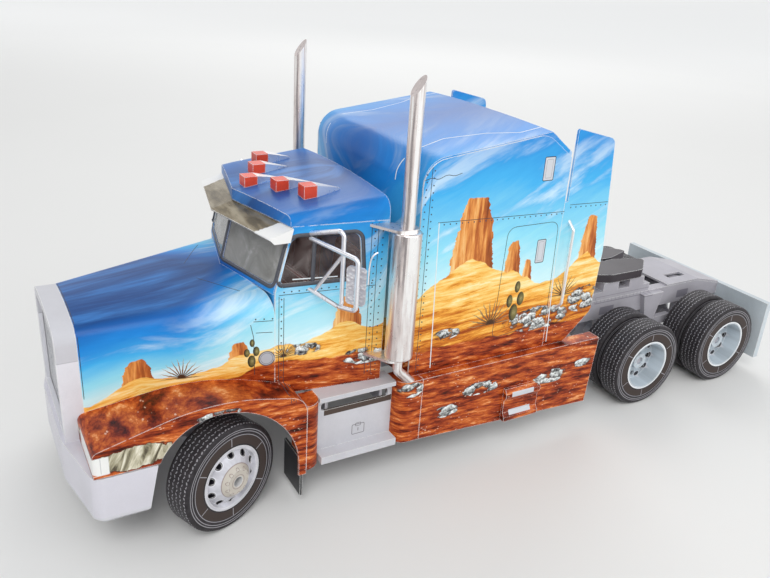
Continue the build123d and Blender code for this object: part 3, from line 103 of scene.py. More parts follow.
# A Board is one node tree; every node comes from its node()
class Board:
    def __init__(self, tree):
        self.tree = tree

    def node(self, kind, settings=None, inputs=None, output=0):
        made = self.tree.nodes.new(kind)
        for name, value in (settings or {}).items():
            if name == "stops":
                ramp = made.color_ramp
                while len(ramp.elements) > 1:
                    ramp.elements.remove(ramp.elements[-1])
                for index, (place, color) in enumerate(value):
                    stop = ramp.elements[0] if index == 0 else ramp.elements.new(place)
                    stop.position = place
                    stop.color = (*color, 1.0)
            else:
                setattr(made, name, value)
        for name, value in (inputs or {}).items():
            socket = made.inputs[name]
            if isinstance(value, Wire):
                self.tree.links.new(value.socket, socket)
            elif socket.type == "RGBA" and len(value) == 3:
                socket.default_value = (*value, 1.0)
            else:
                socket.default_value = value
        return Wire(self, made.outputs[output]) if made.outputs else made

    def mix(self, factor, first, second):
        return self.node("ShaderNodeMix", {"data_type": "RGBA"}, {0: factor, 6: first, 7: second}, output=2)

    def over(self, base, *layers):  # each layer is a mask and a colour laid over what is below
        for mask, color in layers:
            base = self.mix(mask, base, color)
        return base

    def ramp(self, value, *stops):
        return self.node("ShaderNodeValToRGB", {"stops": stops}, {0: value})

    def step(self, value, low, high):  # 0 below low, 1 above high, smooth between; high may be below low
        return self.node(
            "ShaderNodeMapRange", {"interpolation_type": "SMOOTHSTEP"},
            {"Value": value, "From Min": low, "From Max": high})

    def vector(self, x, y, z=0.0):
        return self.node("ShaderNodeCombineXYZ", {}, {0: x, 1: y, 2: z})

    def split(self, vector):
        return [self.node("ShaderNodeSeparateXYZ", {}, {0: vector}, output=axis) for axis in range(3)]

    def noise(self, vector, scale, detail=3.0, roughness=0.55, distortion=0.0):
        return self.node("ShaderNodeTexNoise", {}, {
            "Vector": vector, "Scale": scale, "Detail": detail, "Roughness": roughness,
            "Distortion": distortion})

    def cells(self, vector, scale, output=0):
        return self.node("ShaderNodeTexVoronoi", {}, {"Vector": vector, "Scale": scale}, output)

    def place(self):  # x, y and z of the Object coordinates, in millimetres
        spot = self.node("ShaderNodeTexCoord", {}, {}, output=3)
        self.spot = self.node("ShaderNodeVectorMath", {"operation": "SCALE"}, {0: spot, "Scale": 1 / mm})
        return self.split(self.spot)

    def normal(self):
        return self.node("ShaderNodeNewGeometry", {}, {}, output=3)

    def facing(self):  # x, y and z of the surface's own normal
        return self.split(self.normal())

    def cutEdge(self, reach):  # 1 where the surface turns sharply within reach millimetres
        rounded = self.node("ShaderNodeBevel", {"samples": 4}, {"Radius": reach * mm})
        turn = self.node(
            "ShaderNodeVectorMath", {"operation": "DOT_PRODUCT"}, {0: rounded, 1: self.normal()}, output=1)
        return self.step(turn, 0.985, 0.88)

    def card(self, u, v, middle, half, corner=0.0):  # distance outside a rounded rectangle, below 0 inside
        beyond = [(abs(w - at) - (size - corner)).calc("MAXIMUM", 0.0)
                  for w, at, size in zip((u, v), middle, half)]
        return (beyond[0] * beyond[0] + beyond[1] * beyond[1]).calc("SQRT") - corner

    def relief(self, height, strength, depth):  # a bumped normal, depth in millimetres
        return self.node("ShaderNodeBump", {}, {"Height": height, "Strength": strength, "Distance": depth * mm})


def finish(name, paint, **values):  # a material from a painting function that returns (colour, other links)
    material = bpy.data.materials.new(name)
    material.use_nodes = True
    tree = material.node_tree
    board = Board(tree)
    shader = tree.nodes["Principled BSDF"]
    color, links = paint(board)
    tree.links.new(color.socket, shader.inputs["Base Color"])
    for socket, value in values.items():
        shader.inputs[socket.replace("_", " ")].default_value = value
    for socket, wire in links.items():
        tree.links.new(wire.socket, shader.inputs[socket])
    return material


def dress(material, *names):
    for name in names:
        mesh = nodes[name].data
        mesh.materials.clear()
        mesh.materials.append(material)


def scaled(color, factor, most=0.9):
    return tuple(min(most, value * factor) for value in color)


print("frame loaded")

# Camera: found from the wheels and straight edges of the photograph
camera = {
    "place": (152.96, 210.16, 154.98), "lens": 36.19,
    "turn": 30.9, "tilt": -23.5, "roll": 3.81,
}


def setCamera(settings):
    turn, tilt, roll = (math.radians(settings[key]) for key in ("turn", "tilt", "roll"))
    ahead = Vector((-math.sin(turn) * math.cos(tilt), -math.cos(turn) * math.cos(tilt), math.sin(tilt)))
    level = Vector((-math.cos(turn), math.sin(turn), 0))
    upright = level.cross(ahead)
    right = level * math.cos(roll) + upright * math.sin(roll)
    up = upright * math.cos(roll) - level * math.sin(roll)
    data = bpy.data.cameras.new("camera")
    data.lens = settings["lens"]
    data.clip_start = 0.01
    eye = bpy.data.objects.new("camera", data)
    turned = Matrix((right, up, -ahead)).transposed().to_4x4()
    eye.matrix_world = Matrix.Translation(Vector(settings["place"]) * mm) @ turned
    bpy.context.scene.collection.objects.link(eye)
    bpy.context.scene.camera = eye


setCamera(camera)

# Stage: a pale floor, a pale room and three soft lamps
stage = {
    "floorSize": 60.0, "floorRough": 0.7, "floorTones": ((0.78, 0.78, 0.77), (0.80, 0.80, 0.79)),
    "floorClouds": 0.006, "litFloor": (550.0, 1700.0), "farGlow": (0.36, 0.365, 0.37),
    "roomColor": (0.93, 0.94, 0.95), "roomStrength": 0.55,
    "aim": (0.0, 0.0, 0.05),
}
lamps = {  # place in metres, watts, size
    "key": ((0.55, 0.75, 0.95), 8.0, 0.7),
    "fill": ((-0.7, 0.9, 0.6), 3.6, 0.9),
    "back": ((-0.5, -0.8, 0.8), 4.2, 0.8),
}


def floorPaint(board):  # the floor beyond the lamps glows as much as they light it near the truck
    board.place()
    away = board.node("ShaderNodeVectorMath", {"operation": "LENGTH"}, {0: board.spot}, output=1)
    far = board.step(away, *stage["litFloor"])
    clouds = board.noise(board.spot, stage["floorClouds"])
    return (board.ramp(clouds, *zip((0.0, 1.0), stage["floorTones"])),
            {"Emission Color": board.mix(far, (0.0, 0.0, 0.0), stage["farGlow"])})


def setRoom():
    world = bpy.data.worlds.new("room")
    bpy.context.scene.world = world
    world.use_nodes = True
    board = Board(world.node_tree)
    path = world.node_tree.nodes.new("ShaderNodeLightPath")
    seen = Wire(board, path.outputs["Is Camera Ray"])
    for kind in ("Is Transmission Ray", "Is Glossy Ray"):
        seen = seen.calc("MAXIMUM", Wire(board, path.outputs[kind]))
    strength = seen * (1 - stage["roomStrength"]) + stage["roomStrength"]
    background = world.node_tree.nodes["Background"]
    background.inputs["Color"].default_value = (*stage["roomColor"], 1.0)
    world.node_tree.links.new(strength.socket, background.inputs["Strength"])


def setFloor():
    half = stage["floorSize"] / 2
    mesh = bpy.data.meshes.new("floor")
    corners = [(-half, -half, 0), (half, -half, 0), (half, half, 0), (-half, half, 0)]
    mesh.from_pydata(corners, [], [(0, 1, 2, 3)])
    floor = bpy.data.objects.new("floor", mesh)
    bpy.context.scene.collection.objects.link(floor)
    mesh.materials.append(finish("floor", floorPaint, Roughness=stage["floorRough"], Emission_Strength=1.0))


def setLamps():
    for name, (spot, watts, size) in lamps.items():
        data = bpy.data.lights.new(name, "AREA")
        data.energy = watts
        data.size = size
        lamp = bpy.data.objects.new(name, data)
        lamp.location = spot
        lamp.rotation_euler = (Vector(stage["aim"]) - Vector(spot)).to_track_quat("-Z", "Y").to_euler()
        bpy.context.scene.collection.objects.link(lamp)


bpy.context.scene.view_settings.view_transform = "Standard"
setRoom()
setFloor()
setLamps()
print("camera, floor and lamps set")

# The printed desert: heights above the ground, from the nose to the cab and the sleeper
mural = {
    "stations": {"nose": 30.0, "cab": 62.0, "cabEnd": 84.0, "sleeper": 104.0},  # distances aft
    "land": {"nose": 42.5, "cab": 51.0, "sleeper": 60.0},  # where the far ground meets the sky
    "soil": {"nose": 38.0, "cab": 45.0, "sleeper": 43.0},  # top of the near red soil
    "sky": {"nose": 25.0, "cab": 62.0, "sleeper": 84.0},  # height of the sky from the land to its darkest blue
    "slant": {"nose": 0.04, "cab": 0.22, "sleeper": 0.5},  # slope of the clouds
    "skyStops": [
        (0.0, (0.60, 0.87, 0.92)), (0.17, (0.29, 0.72, 0.88)), (0.38, (0.06, 0.43, 0.82)),
        (0.60, (0.014, 0.23, 0.66)), (0.80, (0.009, 0.11, 0.40)), (1.0, (0.009, 0.058, 0.22))],
    "cloud": (0.82, 0.95, 0.98), "glow": (0.055, 0.27, 0.72),
    "rockStops": [
        (0.22, (0.16, 0.035, 0.012)), (0.42, (0.48, 0.13, 0.030)), (0.58, (0.78, 0.32, 0.08)),
        (0.76, (0.95, 0.62, 0.26))],
    "sandStops": [
        (0.34, (0.32, 0.060, 0.008)), (0.43, (0.64, 0.20, 0.020)), (0.51, (0.88, 0.42, 0.060)),
        (0.60, (0.96, 0.64, 0.19)), (0.70, (0.98, 0.82, 0.46))],
    "soilStops": [
        (0.34, (0.030, 0.006, 0.004)), (0.43, (0.18, 0.022, 0.007)), (0.50, (0.38, 0.058, 0.013)),
        (0.585, (0.62, 0.15, 0.028)), (0.67, (0.88, 0.46, 0.20))],
    "grit": (0.80, 0.58, 0.44), "gritSize": 0.62,
    "stoneStops": [
        (0.15, (0.035, 0.033, 0.036)), (0.38, (0.22, 0.225, 0.22)), (0.60, (0.62, 0.65, 0.64)),
        (0.82, (0.90, 0.93, 0.92))],
    "stoneShade": (0.05, 0.014, 0.010), "stoneSize": 0.33,
    "slabStops": [
        (0.34, (0.09, 0.075, 0.05)), (0.44, (0.33, 0.30, 0.20)), (0.54, (0.62, 0.58, 0.44)),
        (0.64, (0.86, 0.83, 0.72))],
    "slabShade": (0.10, 0.022, 0.012),
    "leafStops": [
        (0.25, (0.030, 0.012, 0.008)), (0.60, (0.13, 0.065, 0.03)), (0.95, (0.42, 0.27, 0.13))],
    "leavesPerRadian": 3.5,
    "padStops": [
        (0.15, (0.42, 0.36, 0.16)), (0.45, (0.20, 0.17, 0.06)), (0.9, (0.045, 0.035, 0.02))],
}
motifs = {
    "domes": [  # aft, half-width, height over the land
        (20.5, 4.6, 8.5), (47.5, 3.4, 6.0), (79.0, 5.0, 12.0), (118.5, 9.0, 30.0), (134.5, 3.6, 15.0),
        (141.0, 2.2, 9.0), (166.0, 4.2, 20.0)],
    "drifts": [  # aft, height, half-length, half-height of the banks of pale stones
        (38.0, 38.6, 6.0, 1.3), (66.0, 48.5, 5.0, 1.8), (85.0, 43.5, 7.0, 2.6), (99.0, 31.5, 4.0, 2.6),
        (112.0, 47.0, 5.0, 2.0), (148.0, 46.0, 13.0, 4.2), (168.0, 50.0, 7.0, 4.6),
        (112.5, 20.5, 5.0, 2.1), (126.0, 26.0, 8.0, 2.4), (156.0, 23.5, 7.0, 2.6), (170.0, 26.0, 4.0, 1.6)],
    "slabs": [(15.0, 31.8, 10.5, 3.3)],  # aft, height, half-length, half-height of a great pale rock
    "tufts": [  # aft, height of the root, blade length
        (32.0, 43.5, 6.5), (60.0, 47.0, 5.0), (128.5, 47.5, 9.5), (158.0, 53.0, 8.0)],
    "pads": [  # aft, height, half-width, half-height of the prickly pear's pads
        (51.0, 46.5, 1.1, 1.9), (52.3, 49.6, 0.9, 1.5), (49.7, 49.3, 0.8, 1.3), (51.2, 52.3, 0.7, 1.2),
        (137.5, 50.0, 1.7, 3.0), (139.8, 54.6, 1.4, 2.4), (135.4, 54.4, 1.2, 2.2), (138.0, 59.0, 1.1, 2.0)],
}
motifMargin = 10.0  # a card gets the motifs this far beyond its own ends
grains = {  # stretch aft, up and across; lean of the first two; then scale, detail, roughness, distortion
    "wander": ((1.0, 1.0, 0.6), (0.0, 0.0), 0.45, 3.0),
    "patches": ((1.0, 1.0, 0.6), (0.0, 0.0), 0.16, 2.0),
    "furrows": ((0.26, 1.5, 0.35), (0.0, 0.08), 0.40, 9.0, 0.70, 0.12),
    "flutes": ((1.5, 0.13, 0.2), (0.0, 0.0), 0.55, 6.0, 0.62, 0.2),
    "dunes": ((0.12, 1.0, 0.1), (0.0, -0.06), 0.50, 9.0, 0.74, 0.4),
    "stones": ((1.0, 1.0, 0.6), (0.0, 0.0), 0.9, 5.0, 0.65),
    "slabs": ((0.9, 0.22, 0.3), (-0.35, 0.0), 0.42, 5.0, 0.6, 0.8),
    "pads": ((1.0, 1.0, 0.6), (0.0, 0.0), 2.0, 3.0),
}
skyline = {"across": 0.2, "from": 0.0, "noise": (0.045, 3.0), "rise": 10.0}
soilLine = {"across": 0.3, "from": 9.0, "noise": (0.06, 4.0), "rise": 8.0}
cloudNoise = (0.20, 6.0, 0.58, 0.3)


class Landscape:  # the desert as seen on one card
    def __init__(self, board, x, y, h, reach):
        self.board = board
        self.aft = noseX - x
        self.y = y
        self.h = h
        self.wander = self.grain("wander") - 0.5
        low, high = reach[0] - motifMargin, reach[1] + motifMargin
        self.near = {name: [item for item in items if low < item[0] < high] for name, items in motifs.items()}

    def grain(self, name):
        stretch, lean, *noise = grains[name]
        return self.board.noise(self.board.vector(
            self.aft * stretch[0] + self.h * lean[0], self.h * stretch[1] + self.aft * lean[1],
            self.y * stretch[2]), *noise)

    def along(self, heights):  # a value that changes from the nose to the cab and the sleeper
        spots = mural["stations"]
        toCab = self.board.step(self.aft, spots["nose"], spots["cab"])
        toSleeper = self.board.step(self.aft, spots["cabEnd"], spots["sleeper"])
        return (heights["nose"] + toCab * (heights["cab"] - heights["nose"])
                + toSleeper * (heights["sleeper"] - heights["cab"]))

    def wavy(self, line):
        flat = self.board.vector(self.aft, self.y * line["across"], line["from"])
        return (self.board.noise(flat, *line["noise"]) - 0.5) * line["rise"]

    def offset(self, middle, height, length, rise):  # place in a motif, in its own half-sizes
        return (self.aft - middle) / length, (self.h - height) / rise

    def soil(self):  # furrows and pale grit
        board = self.board
        color = board.ramp(self.grain("furrows"), *mural["soilStops"])
        grit = board.cells(board.vector(self.aft + self.wander * 2.0, self.h * 1.9, self.y * 0.6),
                           mural["gritSize"])
        patches = board.step(self.grain("patches"), 0.52, 0.64)
        return board.over(color, (board.step(grit, 0.24, 0.12) * patches * 0.8, mural["grit"]))

    def sky(self, land):  # deep above, pale at the land, with slanting streaks of cloud
        board, aft, y, h = self.board, self.aft, self.y, self.h
        up = (h - land) / self.along(mural["sky"])
        across = h - aft * self.along(mural["slant"])
        streaks = board.noise(
            board.vector(aft * 0.12 + h * 0.08 + y * 0.12, across * 0.62, y * 0.05), *cloudNoise)
        cloud = board.step(streaks, 0.47, 0.68) * board.step(up, 0.9, 0.15) * 0.85
        glow = board.step(up, 0.70, 1.15) * board.step(streaks, 0.36, 0.76) * 0.75
        deep = board.ramp(up + (streaks - 0.5) * 0.30, *mural["skyStops"])
        return board.over(deep, (cloud, mural["cloud"]), (glow, mural["glow"]))

    def domes(self, color, horizon):  # rounded domes with worn flutes, on fans of their own sand
        board, wander = self.board, self.wander
        towers, fans, lit = None, None, None
        for middle, half, height in self.near["domes"]:
            off = self.aft - middle + wander * (1.2 + half * 0.25)
            width = abs(off)
            tower = (board.step(width, half, half * 0.30) ** 0.42) * height
            fan = (1.0 - width / (half * 2.7)).calc("MAXIMUM", 0.0) * (height * 0.36)
            side = board.step(off, half, -half) * board.step(width, half * 1.1, half)
            towers = tower if towers is None else towers.calc("MAXIMUM", tower)
            fans = fan if fans is None else fans.calc("MAXIMUM", fan)
            lit = side if lit is None else lit + side
        if towers is None:
            return color, horizon
        rock = board.ramp(self.grain("flutes") + (lit - 0.45) * 0.26, *mural["rockStops"])
        top = horizon + towers + wander * 1.2
        return board.over(color, (board.step(self.h - top, 0.2, -0.2), rock)), horizon + fans

    def dunes(self, color, land, horizon):  # layered ochre, darker towards the near soil
        low = self.board.step(self.h - land, -1.0, -12.0)
        sand = self.board.ramp(self.grain("dunes") + 0.08 - low * 0.16, *mural["sandStops"])
        return self.board.over(color, (self.board.step(self.h - horizon, 0.15, -0.15), sand))

    def drifts(self, color):  # banks of pale stones, lit from above
        if not self.near["drifts"]:
            return color
        board, wander = self.board, self.wander
        bank = None
        for drift in self.near["drifts"]:
            u, v = self.offset(*drift)
            span = u * u + v * v
            bank = span if bank is None else bank.calc("MINIMUM", span)
        bank = bank + wander * 1.4
        height = self.h * 1.2 + wander * 3.0
        warped = board.vector(self.aft * 0.8 + wander * 4.5, height, self.y * 0.5)
        spread = board.cells(warped, mural["stoneSize"])
        centre = board.split(board.cells(warped, mural["stoneSize"], 2))
        tone = (height - centre[1]) * 0.20 + 0.48 + (self.grain("stones") - 0.5) * 1.5
        stone = board.ramp(tone, *mural["stoneStops"])
        shade = board.step(spread, 0.80, 0.6) * board.step(bank, 1.2, 0.95) * 0.8
        shape = board.step(spread, 0.66, 0.58) * board.step(bank, 1.08, 0.92)
        return board.over(color, (shade, mural["stoneShade"]), (shape, stone))

    def slabs(self, color):  # a great pale rock with folds
        for slab in self.near["slabs"]:
            u, v = self.offset(*slab)
            span = u * u + v * v + self.wander * 1.3
            face = self.board.ramp(self.grain("slabs"), *mural["slabStops"])
            color = self.board.over(color, (self.board.step(span, 1.25, 1.0), mural["slabShade"]),
                                    (self.board.step(span, 1.02, 0.94), face))
        return color

    def tufts(self, color):  # spiky tufts of dry leaves
        for middle, root, length in self.near["tufts"]:
            u, v = self.aft - middle, self.h - root
            turn = v.calc("ARCTAN2", u) * mural["leavesPerRadian"] + self.wander * 0.8
            spikes = abs(turn.calc("FRACT") - 0.5) * 2.0
            reachOut = (spikes ** 2.2 * 0.80 + 0.16) * length
            distance = (u * u + v * v).calc("SQRT")
            blade = self.board.step(distance - reachOut, 0.12, -0.12) * self.board.step(v, -0.6, 0.0)
            leaf = self.board.ramp(spikes * 0.6 + distance / length * 0.5, *mural["leafStops"])
            color = self.board.over(color, (blade, leaf))
        return color

    def pads(self, color):
        for pad in self.near["pads"]:
            u, v = self.offset(*pad)
            span = (u * u + v * v).calc("SQRT")
            green = self.board.ramp(span * 0.6 - u * 0.3 + self.grain("pads") * 0.5, *mural["padStops"])
            color = self.board.over(color, (self.board.step(span, 1.04, 0.98), green))
        return color

    def picture(self, soilOnly):
        color = self.soil()
        if not soilOnly:
            soil, land = color, self.along(mural["land"])
            horizon = land + self.wavy(skyline)
            color, horizon = self.domes(self.sky(land), horizon)
            color = self.dunes(color, land, horizon)
            soilTop = self.along(mural["soil"]) + self.wavy(soilLine)
            color = self.board.over(color, (self.board.step(self.h - soilTop, 0.25, -0.25), soil))
        return self.pads(self.tufts(self.slabs(self.drifts(color))))


sheet = {
    "white": (0.84, 0.84, 0.83), "shade": (0.72, 0.72, 0.70), "fibre": (2.2, 4.0, 0.6), "depth": 0.05,
    "cut": 0.36,  # width of the bare line along a cut or fold
    "wear": (0.5, 3.0), "inkRough": 0.32, "bareRough": 0.36}


def printed(board, color, mask):  # print on the outer face, bare white card elsewhere and along every cut
    fibre = board.noise(board.spot, *sheet["fibre"])
    bare = board.ramp(fibre, (0.3, sheet["shade"]), (0.7, sheet["white"]))
    scuff = board.cutEdge(sheet["cut"]) * board.step(board.noise(board.spot, *sheet["wear"]), 0.30, 0.46)
    ink = mask * (1 - scuff * 0.9)
    links = {
        "Normal": board.relief(fibre, 0.22, sheet["depth"]),
        "Roughness": sheet["inkRough"] + (1 - ink) * sheet["bareRough"] + (fibre - 0.5) * 0.12}
    return board.over(bare, (ink, color)), links


def marks(board, color, aft, z, items):  # printed marks: (middle, half, corner, line or 0 for solid, colour)
    for middle, half, corner, line, ink in items:
        away = board.card(aft, z, middle, half, corner)
        mask = board.step(abs(away), line, line * 0.5) if line else board.step(away, 0.06, -0.06)
        color = board.over(color, (mask, ink))
    return color


# reach is the card's ends; wrap lets the print climb on over the top, from half out to the middle; bent says
# that the outer face also turns up and forward, allRound that it looks both ways; lining is the inner print
def muralCard(reach, wrap=0.0, half=0.0, bent=False, allRound=False, lining=None, soilOnly=False, items=()):
    def paint(board):
        x, y, z = board.place()
        nx, ny, nz = board.facing()
        outward = ny * y.calc("SIGN")
        if wrap or bent or allRound:
            outward = outward.calc("MAXIMUM", nz).calc("MAXIMUM", nx)
        if allRound:
            outward = outward.calc("MAXIMUM", abs(ny)).calc("MAXIMUM", -nx)
        h = z + (half - abs(y)).calc("MAXIMUM", 0.0) * wrap if wrap else z
        color = Landscape(board, x, y, h, reach).picture(soilOnly)
        color = marks(board, color, noseX - x, z, items)
        mask = board.step(outward, 0.20, 0.42)
        if lining:
            inner = board.step(outward, -0.2, -0.5)
            color = board.over(color, (inner, lining))
            mask = mask.calc("MAXIMUM", inner)
        return printed(board, color, mask)
    return paint


maroon = (0.17, 0.045, 0.038)
silver = (0.60, 0.62, 0.66)
inkBlack = (0.015, 0.015, 0.02)
inkGrey = (0.46, 0.47, 0.51)
inkDark = (0.14, 0.13, 0.14)
inkViolet = (0.22, 0.21, 0.25)
gloss = {"Coat_Weight": 0.04, "Coat_Roughness": 0.25, "Specular_IOR_Level": 0.14}
capSpot = (55.2, 47.0)
hoodMarks = [
    (capSpot, (2.3, 2.3), 2.3, 0, inkGrey), (capSpot, (2.2, 2.2), 2.2, 0.2, (0.12, 0.12, 0.14)),
    (capSpot, (1.7, 1.7), 1.7, 0.1, (0.2, 0.2, 0.22))]


def ventMarks(middle, half, inner):
    return [(middle, half, 0.4, 0, silver), (middle, half, 0.4, 0.16, inkBlack),
            (middle, inner, 0.3, 0.08, (0.3, 0.3, 0.33))]


sleeperMarks = (ventMarks((144.0, 97.4), (2.0, 3.7), (1.2, 2.9))
                + ventMarks((145.4, 70.3), (1.7, 3.9), (1.0, 3.2)))
treadMarks = [((142.6, height), (4.6, 0.9), 0.1, 0, silver) for height in (21.4, 14.2)]
prints = {
    "hood_print": (muralCard((0, 60), 1.4, 21.0, items=hoodMarks), ("hood",)),
    "fender_print": (muralCard((0, 70), soilOnly=True, bent=True), ("fenders",)),
    "cab_print": (muralCard((50, 95), lining=maroon), ("cab_sides",)),
    "cab_front_print": (muralCard((50, 95), 0.5, 60.0), ("cab_front", "cab_back")),
    "roof_print": (muralCard((50, 95), 0.9, 34.0), ("cab_roof",)),
    "sleeper_print": (muralCard((95, 155), items=sleeperMarks), ("sleeper_sides",)),
    "shell_print": (muralCard((95, 155), 0.55, 36.0), ("sleeper_shell",)),
    "rear_print": (muralCard((150, 180), allRound=True), ("extenders", "sleeper_back")),
    "fairing_print": (muralCard((60, 105), soilOnly=True, bent=True), ("corner_fairings",)),
    "step_box_print": (muralCard((125, 150), soilOnly=True, bent=True, items=treadMarks), ("skirt_steps",)),
    "skirt_print": (muralCard((95, 180), soilOnly=True, bent=True), ("skirts",)),
}
for name, (paint, dressed) in prints.items():
    dress(finish(name, paint, **gloss), *dressed)
print("printed cards made")

# Plain printed cards: a shade with soft clouds, and the marks printed on it
railMarks = [
    ((212.3, 34.7), (14.8, 1.3), 0.2, 0.12, inkViolet), ((212.3, 33.2), (14.8, 0.1), 0.0, 0, inkViolet),
    ((204.6, 29.6), (3.8, 1.7), 0.1, 0, (0.24, 0.23, 0.27)),
    ((248.3, 29.9), (3.4, 1.7), 0.1, 0, (0.24, 0.23, 0.27))]
railMarks += [((198.5 + 2.0 * tick, 34.2), (0.14, 0.55), 0.0, 0, (0.20, 0.19, 0.23)) for tick in range(15)]
stepMarks = [
    ((82.6, 28.0), (11.6, 1.0), 0.1, 0, (0.075, 0.052, 0.042)), ((82.9, 19.4), (2.1, 1.7), 0.3, 0.13, inkDark),
    ((82.9, 21.0), (0.9, 0.5), 0.2, 0.11, inkDark), ((82.9, 19.2), (0.12, 0.6), 0.1, 0, inkDark)]
lampMarks = [((6.6, 32.2), (0.08, 3.0), 0.0, 0, (0.35, 0.35, 0.38))]
bumperMarks = [((-20.0, 13.6), (60.0, 1.6), 0.0, 0, (0.56, 0.57, 0.60))]
grilleMarks = [((0.0, 57.0), (30.0, 5.2), 0.0, 0, (0.40, 0.40, 0.43)),
               ((0.0, 51.8), (30.0, 0.08), 0.0, 0, (0.28, 0.28, 0.31))]
cardShine = 0.25
shades = {  # the colour, how dark its clouds go, the marks
    "frame_card": ((0.47, 0.455, 0.50), 0.86, railMarks, (
        "frame_rails", "crossmembers", "drive_axles", "suspension", "front_axle", "side_brackets",
        "coupling_base", "deck_plate", "cab_floor", "sleeper_floor", "tie_rod")),
    # painted shade: the knuckles are made near-black so that the bore of each front hub reads dark
    "knuckle_shade_card": ((0.10, 0.095, 0.10), 0.80, [], ("knuckle_left", "knuckle_right")),
    "bumper_card": ((0.66, 0.65, 0.71), 0.93, bumperMarks, ("bumper",)),
    "grille_card": ((0.77, 0.77, 0.82), 0.90, grilleMarks, ("grille_shell",)),
    "bar_card": ((0.40, 0.41, 0.45), 0.80, [], ("grille_bars",)),
    "step_card": ((0.60, 0.60, 0.64), 0.88, stepMarks, ("steps",)),
    "flap_card": ((0.60, 0.66, 0.70), 0.88, [], ("rear_mudflaps",)),
    "coupling_card": ((0.060, 0.050, 0.058), 0.70, [], ("fifth_wheel",)),
    "black_card": ((0.030, 0.030, 0.034), 0.75, [], ("front_mudflaps",)),
    "lamp_card": ((0.86, 0.86, 0.84), 0.94, lampMarks, ("headlights",)),
    "lamp_red": ((0.82, 0.085, 0.040), 0.72, [], ("roof_lamps",)),
    "seat_card": (maroon, 0.55, [], ("dashboard", "steering_wheel", "seats")),
}


def plainCard(shade, dark, items):
    def paint(board):
        x, y, z = board.place()
        clouds = board.noise(board.spot, 0.09, 3.0) + (board.noise(board.spot, 1.6, 2.0) - 0.5) * 0.25
        color = board.ramp(clouds, (0.3, scaled(shade, dark)), (0.7, shade))
        return printed(board, marks(board, color, noseX - x, z, items), 1.0)
    return paint


for name, (shade, dark, items, dressed) in shades.items():
    dress(finish(name, plainCard(shade, dark, items), Specular_IOR_Level=cardShine), *dressed)

# Wheels: everything printed on them follows the distance from the hub and the turn about it
tyre = {  # twin is half the space between twin tyres; rings and band are shares of the radius
    "radius": 16.5, "shoulder": 1.1, "twin": 5.4, "shine": 0.2,
    "row": 1.62, "rowLine": (0.13, 0.08), "zigzags": 46, "zigzagDepth": 0.55, "dash": (0.16, 0.22),
    "treadHalf": 3.9, "rings": (0.945, 0.902, 0.862, 0.802), "ringLine": (0.0085, 0.004),
    "band": (0.63, 0.785), "dividers": 6, "dividerLine": (0.16, 0.09),
    "rubber": (0.027, 0.024, 0.027), "ink": (0.40, 0.39, 0.42), "bandInk": (0.050, 0.036, 0.032)}
rim = {
    "lipFrom": 9.45, "hub": 5.15, "cap": 1.6, "bore": 1.3, "capRing": 2.15,
    "nuts": 10, "nutsAt": 3.9, "nut": 0.50, "nutLine": (0.13, 0.05), "ringLine": (0.15, 0.07),
    "holes": 10, "holesAt": 7.55, "hole": (1.2, 0.92), "holeInk": (0.020, 0.018, 0.024),
    "holeEdge": (0.72, 0.72, 0.76), "hubInk": (0.53, 0.49, 0.43), "lineInk": (0.26, 0.19, 0.18),
    "capInk": (0.62, 0.62, 0.62), "boreShade": (0.020, 0.020, 0.025),
    "face": {True: (0.59, 0.59, 0.64), False: (0.50, 0.56, 0.61)},  # front, drive
    "lip": {True: (0.58, 0.58, 0.62), False: (0.84, 0.86, 0.88)},
    "holeTurn": {True: 0.0, False: 0.5}}


def aroundHub(board, node, turned):  # distance from the hub, along its axle, and turn, of a steered wheel
    low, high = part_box(node)
    centre = [(a + b) / 2 / mm for a, b in zip(low, high)]
    axle = (-math.sin(turned), math.cos(turned), 0.0)
    ahead = (math.cos(turned), math.sin(turned), 0.0)
    board.place()
    away = board.node("ShaderNodeVectorMath", {"operation": "SUBTRACT"}, {0: board.spot, 1: centre})
    along, forward = (
        board.node("ShaderNodeVectorMath", {"operation": "DOT_PRODUCT"}, {0: away, 1: way}, output=1)
        for way in (axle, ahead))
    up = board.split(away)[2]
    return (forward * forward + up * up).calc("SQRT"), along, up.calc("ARCTAN2", forward)


def repeated(angle, radius, count, offset=0.0):  # distance round the wheel from the nearest of count places
    return ((angle * (count / math.tau) + offset).calc("FRACT") - 0.5) * (radius * (math.tau / count))


